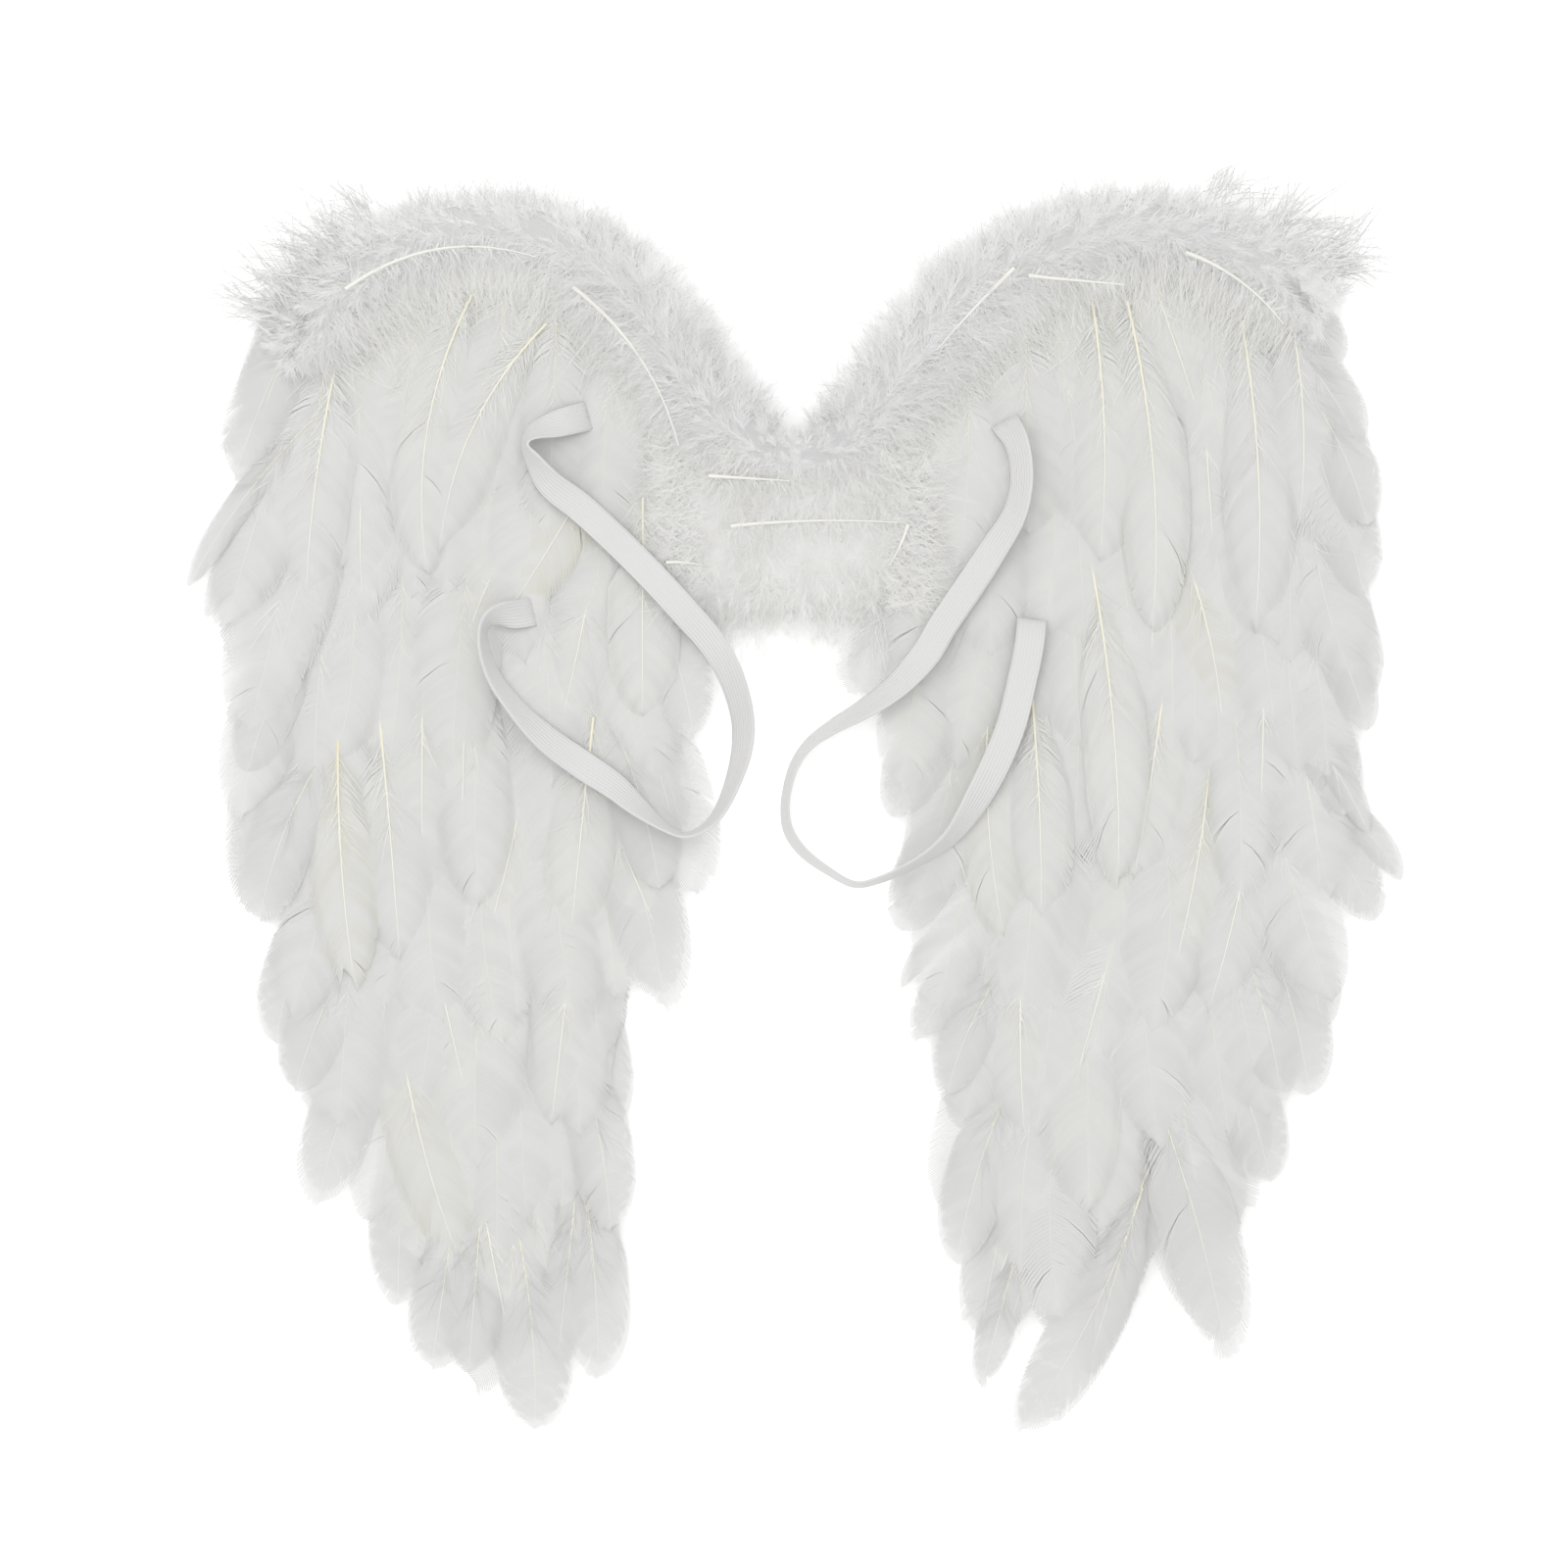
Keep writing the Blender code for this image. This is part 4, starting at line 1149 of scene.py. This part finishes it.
# The pad rises by this much over the first share of its length, to meet the trims. The stems
# on it rise by the same from a place up the wings, over a run.
BRIDGE_CREST = 0.004
CREST_SHARE = 0.45
CREST_START = 0.109
CREST_RUN = 0.028

BRIDGE_STEMS = (
    Quill(-34, 133, -17, 132, 0, 131),
    Quill(-24, 113, 12, 115, 46, 114),
    Quill(-52, 98, -46, 98, -38, 97),
    Quill(46, 113, 43, 105, 38, 96),
)


def bridge_grid(across):
    """Points on top of the pad, in columns from left to right and ranks from top to bottom."""
    brink = [(-u, share) for u, share in LEFT_VALLEY] + list(RIGHT_VALLEY[-2::-1])
    top = np.interp(
        across * BRIDGE_WIDTH / 2 / HALF_SPAN, [u for u, share in brink],
        [WING_LENGTH / 2 - VALLEY_DEPTH * share for u, share in brink]) + BRIDGE_TOP_LAP
    grid = np.zeros((BRIDGE_COLUMNS, BRIDGE_RANKS, 3))
    for k in range(BRIDGE_RANKS):
        down = k / (BRIDGE_RANKS - 1)
        round_off = (1 - max(0.0, (down - 0.6) / 0.4) ** 2) * (1 - across ** 8)
        grid[:, k, 0] = across * BRIDGE_WIDTH / 2
        grid[:, k, 1] = top + (BRIDGE_BOTTOM + 0.003 - top) * down
        crest = BRIDGE_CREST * max(0.0, 1 - down / CREST_SHARE)
        grid[:, k, 2] = 0.0005 + (0.72 * BRIDGE_THICKNESS + crest) * round_off
    grid[..., :2] += MIDDLE
    return grid


BRIDGE_PLUMES = 820
BARBS_PER_BRIDGE_PLUME = 30


def bridge_plumes(grid, across, dice):
    """Plumes that lie on the pad and fan out towards its sides."""
    count = BRIDGE_PLUMES
    k = dice.integers(0, BRIDGE_COLUMNS, count)
    rank = dice.integers(0, BRIDGE_RANKS, count)
    roots = grid[k, rank] + 0.0025 * (2 * dice.random((count, 3)) - 1) * (1, 1, 0.3)
    turn = dice.normal(0.0, 1.0, count) + across[k] * 1.1
    headings = np.stack((np.sin(turn), -np.cos(turn), 0.10 + 0.12 * dice.random(count)), axis=1)
    headings[rank > BRIDGE_RANKS - 4, 2] = -0.05
    lengths = (0.007 + 0.006 * dice.random(count)) * (1 + 0.9 * np.abs(across[k]) ** 6)
    plumes = make_plumes(roots, unit(headings), np.broadcast_to(UP, headings.shape), lengths,
                         BARBS_PER_BRIDGE_PLUME, 0.8, 0.012, dice)
    plumes[1][:, 2] *= 0.6
    plumes[3][:, 2] -= 0.08
    return plumes


FRINGE_STRANDS = 480
FRINGE_GROUPS = 70


def bridge_fringe(grid, dice):
    """Strands that hang off the lower edge in groups."""
    count = FRINGE_STRANDS
    k = dice.integers(1, BRIDGE_COLUMNS - 1, count)
    group = scatter(dice, FRINGE_GROUPS, 0.38)
    group = group[(k * 3 + dice.integers(0, 3, count)) % FRINGE_GROUPS]
    roots = grid[k, BRIDGE_RANKS - 2] + scatter(dice, count, 0.002, 0.3)
    directions = unit(group * (1, 0.6, 0.15) + (0.0, -1.0, -0.1) + scatter(dice, count, 0.1))
    bends = group[:, ::-1] * (1.2, 0.7, 0.1) + scatter(dice, count, 0.15)
    lengths = 0.013 + 0.018 * dice.random(count) ** 2
    return flat_strands(roots, directions, lengths, bends, 0.7 * WISP_WIDTH)


SIDE_STRANDS = 1700


def bridge_sides(dice):
    """Strands that run out over the roots of both wings."""
    count = SIDE_STRANDS
    away = either_side(dice, count)
    roots = np.stack((
        away * (0.036 + 0.018 * dice.random(count)),
        BRIDGE_BOTTOM + 0.008 + 0.062 * dice.random(count),
        0.0125 + 0.0030 * dice.random(count)), axis=1)
    roots[:, :2] += MIDDLE
    directions = np.stack((away, dice.normal(-0.25, 0.9, count), -0.12 * dice.random(count)),
                          axis=1)
    bends = scatter(dice, count, 0.3, 0.0) + (0.0, 0.0, -0.06)
    lengths = 0.007 + 0.012 * dice.random(count)
    return flat_strands(roots, unit(directions), lengths, bends, 0.75 * WISP_WIDTH)


dice = np.random.default_rng(77)
across = np.linspace(-1.0, 1.0, BRIDGE_COLUMNS)
grid = bridge_grid(across)
column = np.arange(BRIDGE_COLUMNS - 1)[:, None, None] * BRIDGE_RANKS
base = column + np.arange(BRIDGE_RANKS - 1)[None, :, None]
core_quads = (base + np.array((0, 1, BRIDGE_RANKS + 1, BRIDGE_RANKS))).reshape(-1, 4)
core = (grid.reshape(-1, 3), core_quads, np.tile(UP, (BRIDGE_COLUMNS * BRIDGE_RANKS, 1)))
layers = [
    (bridge_plumes(grid, across, dice), False, 0.50),
    (bridge_fringe(grid, dice), False, 0.2),
    (bridge_sides(dice), False, 0.50),
]
down_piece("bridge_down", "center_bridge", core, layers, BRIDGE_STREAK, dice)


def bridge_height(x, y):
    crest = BRIDGE_CREST * np.clip((y - MIDDLE[1] - CREST_START) / CREST_RUN, 0.0, 1.0)
    return 0.90 * BRIDGE_THICKNESS + crest


def hanging_height(x, y):
    return np.full(np.shape(x), 0.40 * BRIDGE_THICKNESS)


make_stems("bridge_stems", BRIDGE_STEMS, bridge_height, dice)

# Where the roots and the tips of the loose feather's two layers are, across the span
HANGING_ENDS = ((0.038, 0.028), (0.035, 0.022))
HANGING_ROOT_Y = 0.082
HANGING_TIP_Y = 0.045

hanging = [
    Feather(np.array((root_x, HANGING_ROOT_Y)) + MIDDLE, np.array((tip_x, HANGING_TIP_Y)) + MIDDLE,
            -0.002, 0.011, 0.012, 46, 1.0, 0.0, 0.0, 0.5, 0.0, hanging_height)
    for root_x, tip_x in HANGING_ENDS]
piece = make_feathers("hanging_feather", hanging, dice)
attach(piece, "root")


# The shoulder straps. Flat braided elastic, 12 mm wide with fine lengthwise ribs, each tucked
# into the feathers at both ends. They lie over the feathers and stand on edge in their loops.
STRAP_WIDTH = 0.012
STRAP_THICKNESS = 0.0012
STRAP_EDGE = 0.6
STRAP_CLEARANCE = 0.0022
STRAP_SLOPE = 0.35
STRAP_LEVEL_RUN = 0.006
STRAP_RIBS = 9
STRAP_COLUMNS = 12
STRAP_POINTS = 180
STRAP_SMOOTHING = 9
STRAP_TUCK = 0.0045
STRAP_TUCK_RUN = 0.010
ELASTIC_WHITE = (0.71, 0.71, 0.70)
ELASTIC_RIDGES = 0.5

# Points of a strap's route: x, y and how far the strap has rolled onto its edge, in degrees
LEFT_STRAP_ROUTE = (
    (-84.0, 158.2, 0), (-94.4, 155.0, 15), (-105.2, 151.4, 50), (-109.6, 145.8, 76),
    (-106.4, 139.2, 58), (-99.2, 129.4, 25), (-87.2, 120.2, 5), (-72.8, 107.0, 0),
    (-58.0, 92.2, 0), (-44.8, 77.8, 10), (-34.4, 65.8, 20), (-26.4, 52.6, 32),
    (-21.6, 36.6, 40), (-21.4, 23.4, 46), (-24.8, 9.8, 58), (-30.4, -3.0, 68),
    (-36.8, -10.0, 76), (-44.8, -13.0, 82), (-52.8, -9.8, 76), (-64.0, -1.2, 50),
    (-74.0, 7.4, 28), (-86.0, 15.4, 15), (-100.4, 25.8, 30), (-112.4, 37.8, 52),
    (-122.0, 51.0, 64), (-126.2, 63.0, 72), (-126.2, 72.2, 76), (-120.6, 76.2, 45),
    (-113.6, 76.8, 15), (-106.4, 78.2, 0),
)

RIGHT_STRAP_ROUTE = (
    (85.2, 155.8, 15), (90.0, 147.0, 38), (92.0, 136.6, 43), (91.6, 126.6, 43),
    (88.4, 115.8, 36), (80.8, 103.4, 20), (71.2, 88.6, 5), (60.4, 72.6, 0),
    (54.0, 61.8, 10), (45.6, 51.8, 28), (37.6, 44.6, 40), (28.0, 38.2, 50),
    (16.0, 31.4, 61), (6.4, 24.6, 69), (0.4, 16.6, 73), (-2.8, 7.0, 75),
    (-4.0, -2.6, 75), (-2.4, -11.8, 72), (3.6, -20.2, 72), (13.2, -27.4, 76),
    (24.0, -33.0, 79), (33.6, -31.4, 78), (45.6, -26.2, 74), (56.4, -19.8, 66),
    (65.2, -11.8, 52), (74.0, 1.4, 28), (82.0, 16.6, 8), (88.4, 32.6, 0),
    (92.4, 49.0, 0), (95.2, 62.2, 0), (96.8, 75.0, 0),
)

ELASTIC = new_material(
    "elastic", {"Roughness": 0.6, "Base Color": (*ELASTIC_WHITE, 1.0), "Sheen Weight": 0.2})
add_ridges(ELASTIC.node_tree, "rib", ELASTIC_RIDGES)


def surface_of(item):
    """The faces of an object in the frame, to cast rays on."""
    corners = [item.matrix_world @ vertex.co for vertex in item.data.vertices]
    return BVHTree.FromPolygons(corners, [tuple(face.vertices) for face in item.data.polygons])


LAID_ON = [surface_of(item) for name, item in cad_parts.items()
           if not name.endswith("_strap")]
RAY_START = 0.06


def smooth_route(route, count):
    """Even points on the smooth curve through a route, with its roll."""
    points = np.array(route)
    points = np.concatenate((2 * points[:1] - points[1:2], points, 2 * points[-1:] - points[-2:-1]))
    fine = []
    for k in range(len(points) - 3):
        a, b, c, d = points[k:k + 4]
        t = np.linspace(0.0, 1.0, 24, endpoint=False)[:, None]
        bend = (2 * a - 5 * b + 4 * c - d) * t ** 2 + (3 * b - a - 3 * c + d) * t ** 3
        fine.append(b + 0.5 * ((c - a) * t + bend))
    return spaced(np.concatenate(fine + [points[-2:-1]]), count)


def highest_under(place, flat):
    """The highest point of the feathers and the down under the width of the strap."""
    highest = 0.0
    for share in (-1.0, -0.5, 0.0, 0.5, 1.0):
        start = Vector((*place, RAY_START)) + Vector(flat) * (share * STRAP_WIDTH / 2)
        for tree in LAID_ON:
            hit = tree.ray_cast(start, Vector((0.0, 0.0, -1.0)))[0]
            if hit is not None:
                highest = max(highest, hit.z)
    return highest


def strap_bed(plan, flat):
    """The height that the strap lies on: no steeper than it bends, and down at its ends."""
    tops = np.array([highest_under(*place) for place in zip(plan, flat)])
    apart = np.linalg.norm(plan[:, None] - plan, axis=-1)
    tops = np.max(tops - STRAP_SLOPE * np.maximum(0.0, apart - STRAP_LEVEL_RUN), axis=1)
    padded = np.pad(tops, STRAP_SMOOTHING // 2, mode="edge")
    tops = np.convolve(padded, np.ones(STRAP_SMOOTHING) / STRAP_SMOOTHING, mode="valid")
    run = run_along(plan)
    from_end = np.minimum(run, run[-1] - run)
    return tops - STRAP_TUCK * np.clip(1 - from_end / STRAP_TUCK_RUN, 0.0, 1.0) ** 1.5


for strap_name, route in (("left_strap", LEFT_STRAP_ROUTE), ("right_strap", RIGHT_STRAP_ROUTE)):
    line = smooth_route(route, STRAP_POINTS)
    plan = line[:, :2] * MILLIMETRE + MIDDLE
    roll = np.radians(line[:, 2])
    heading = unit(np.gradient(plan, axis=0))
    flat = np.stack((-heading[:, 1], heading[:, 0], np.zeros(STRAP_POINTS)), axis=1)
    rolled = flat * np.cos(roll)[:, None] + UP * np.sin(roll)[:, None]
    through = UP * np.cos(roll)[:, None] - flat * np.sin(roll)[:, None]
    stand = STRAP_WIDTH / 2 * np.sin(roll) + STRAP_THICKNESS / 2 * np.cos(roll)
    centre = raised(plan, strap_bed(plan, flat) + STRAP_CLEARANCE + stand)
    share = np.linspace(-1.0, 1.0, STRAP_COLUMNS + 1)
    thin = STRAP_THICKNESS / 2 * np.where(np.abs(share) > 0.99, STRAP_EDGE, 1.0)
    ring = np.concatenate([
        centre[:, None] + rolled[:, None] * (side * share * STRAP_WIDTH / 2)[:, None]
        + through[:, None] * (side * thin)[:, None] for side in (1, -1)], axis=1)
    sides = ring.shape[1]
    quads = tube_quads(STRAP_POINTS, sides)
    caps = np.stack((np.arange(sides)[::-1], np.arange(sides) + (STRAP_POINTS - 1) * sides))
    rib = np.concatenate((share, share[::-1])) * math.pi * STRAP_RIBS
    elastic = Part(ring.reshape(-1, 3), [quads, caps], 0, {"rib": np.tile(rib, STRAP_POINTS)})
    piece = new_piece(strap_name + "_elastic", [elastic], [ELASTIC])
    length = float(np.sum(np.linalg.norm(np.diff(centre, axis=0), axis=1)))
    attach(piece, "root")
    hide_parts(strap_name)


# The setting: a plain white floor under soft light, and a camera straight above.
FLOOR_WHITE = (0.95, 0.95, 0.95)
FLOOR_GLOW = 0.25
FLOOR_REACH = 4
FLOOR_DROP = 0.0005
SKY_STRENGTH = 0.86
LAMP_SIZE = 1.8
LAMP_POWER = 14.5
LAMP_PLACE = (-0.35, 0.45, 2.1)
CAMERA_HEIGHT = 2.0
CAMERA_OFFSET = (-0.0044, 0.0078)
SENSOR_WIDTH = 36.0
SEEN_DISTANCE = 1.99
SEEN_WIDTH = 0.64

corners = [(x * FLOOR_REACH, y * FLOOR_REACH, 0) for x, y in ((-1, -1), (1, -1), (1, 1), (-1, 1))]
mesh = bpy.data.meshes.new("floor")
mesh.from_pydata(corners, [], [(0, 1, 2, 3)])
floor = add_object("floor", mesh)
floor.location.z = -FLOOR_DROP
mesh.materials.append(new_material("floor_white", {
    "Base Color": (*FLOOR_WHITE, 1.0), "Roughness": 0.9,
    "Emission Color": (1.0, 1.0, 1.0, 1.0), "Emission Strength": FLOOR_GLOW}))

world = bpy.data.worlds.new("studio")
bpy.context.scene.world = world
world.use_nodes = True
background = world.node_tree.nodes["Background"]
background.inputs["Color"].default_value = (1.0, 1.0, 1.0, 1.0)
background.inputs["Strength"].default_value = SKY_STRENGTH
bpy.context.scene.view_settings.view_transform = "Standard"

lamp_data = bpy.data.lights.new("softbox", "AREA")
lamp_data.shape = "SQUARE"
lamp_data.size = LAMP_SIZE
lamp_data.energy = LAMP_POWER
lamp = add_object("softbox", lamp_data)
lamp.location = LAMP_PLACE
lamp.rotation_euler = (Vector((0, 0, 0)) - lamp.location).to_track_quat("-Z", "Y").to_euler()

camera_data = bpy.data.cameras.new("camera")
camera_data.sensor_width = SENSOR_WIDTH
camera_data.lens = SENSOR_WIDTH * SEEN_DISTANCE / SEEN_WIDTH
camera = add_object("camera", camera_data)
camera.location = (*(MIDDLE + CAMERA_OFFSET), CAMERA_HEIGHT)
bpy.context.scene.camera = camera
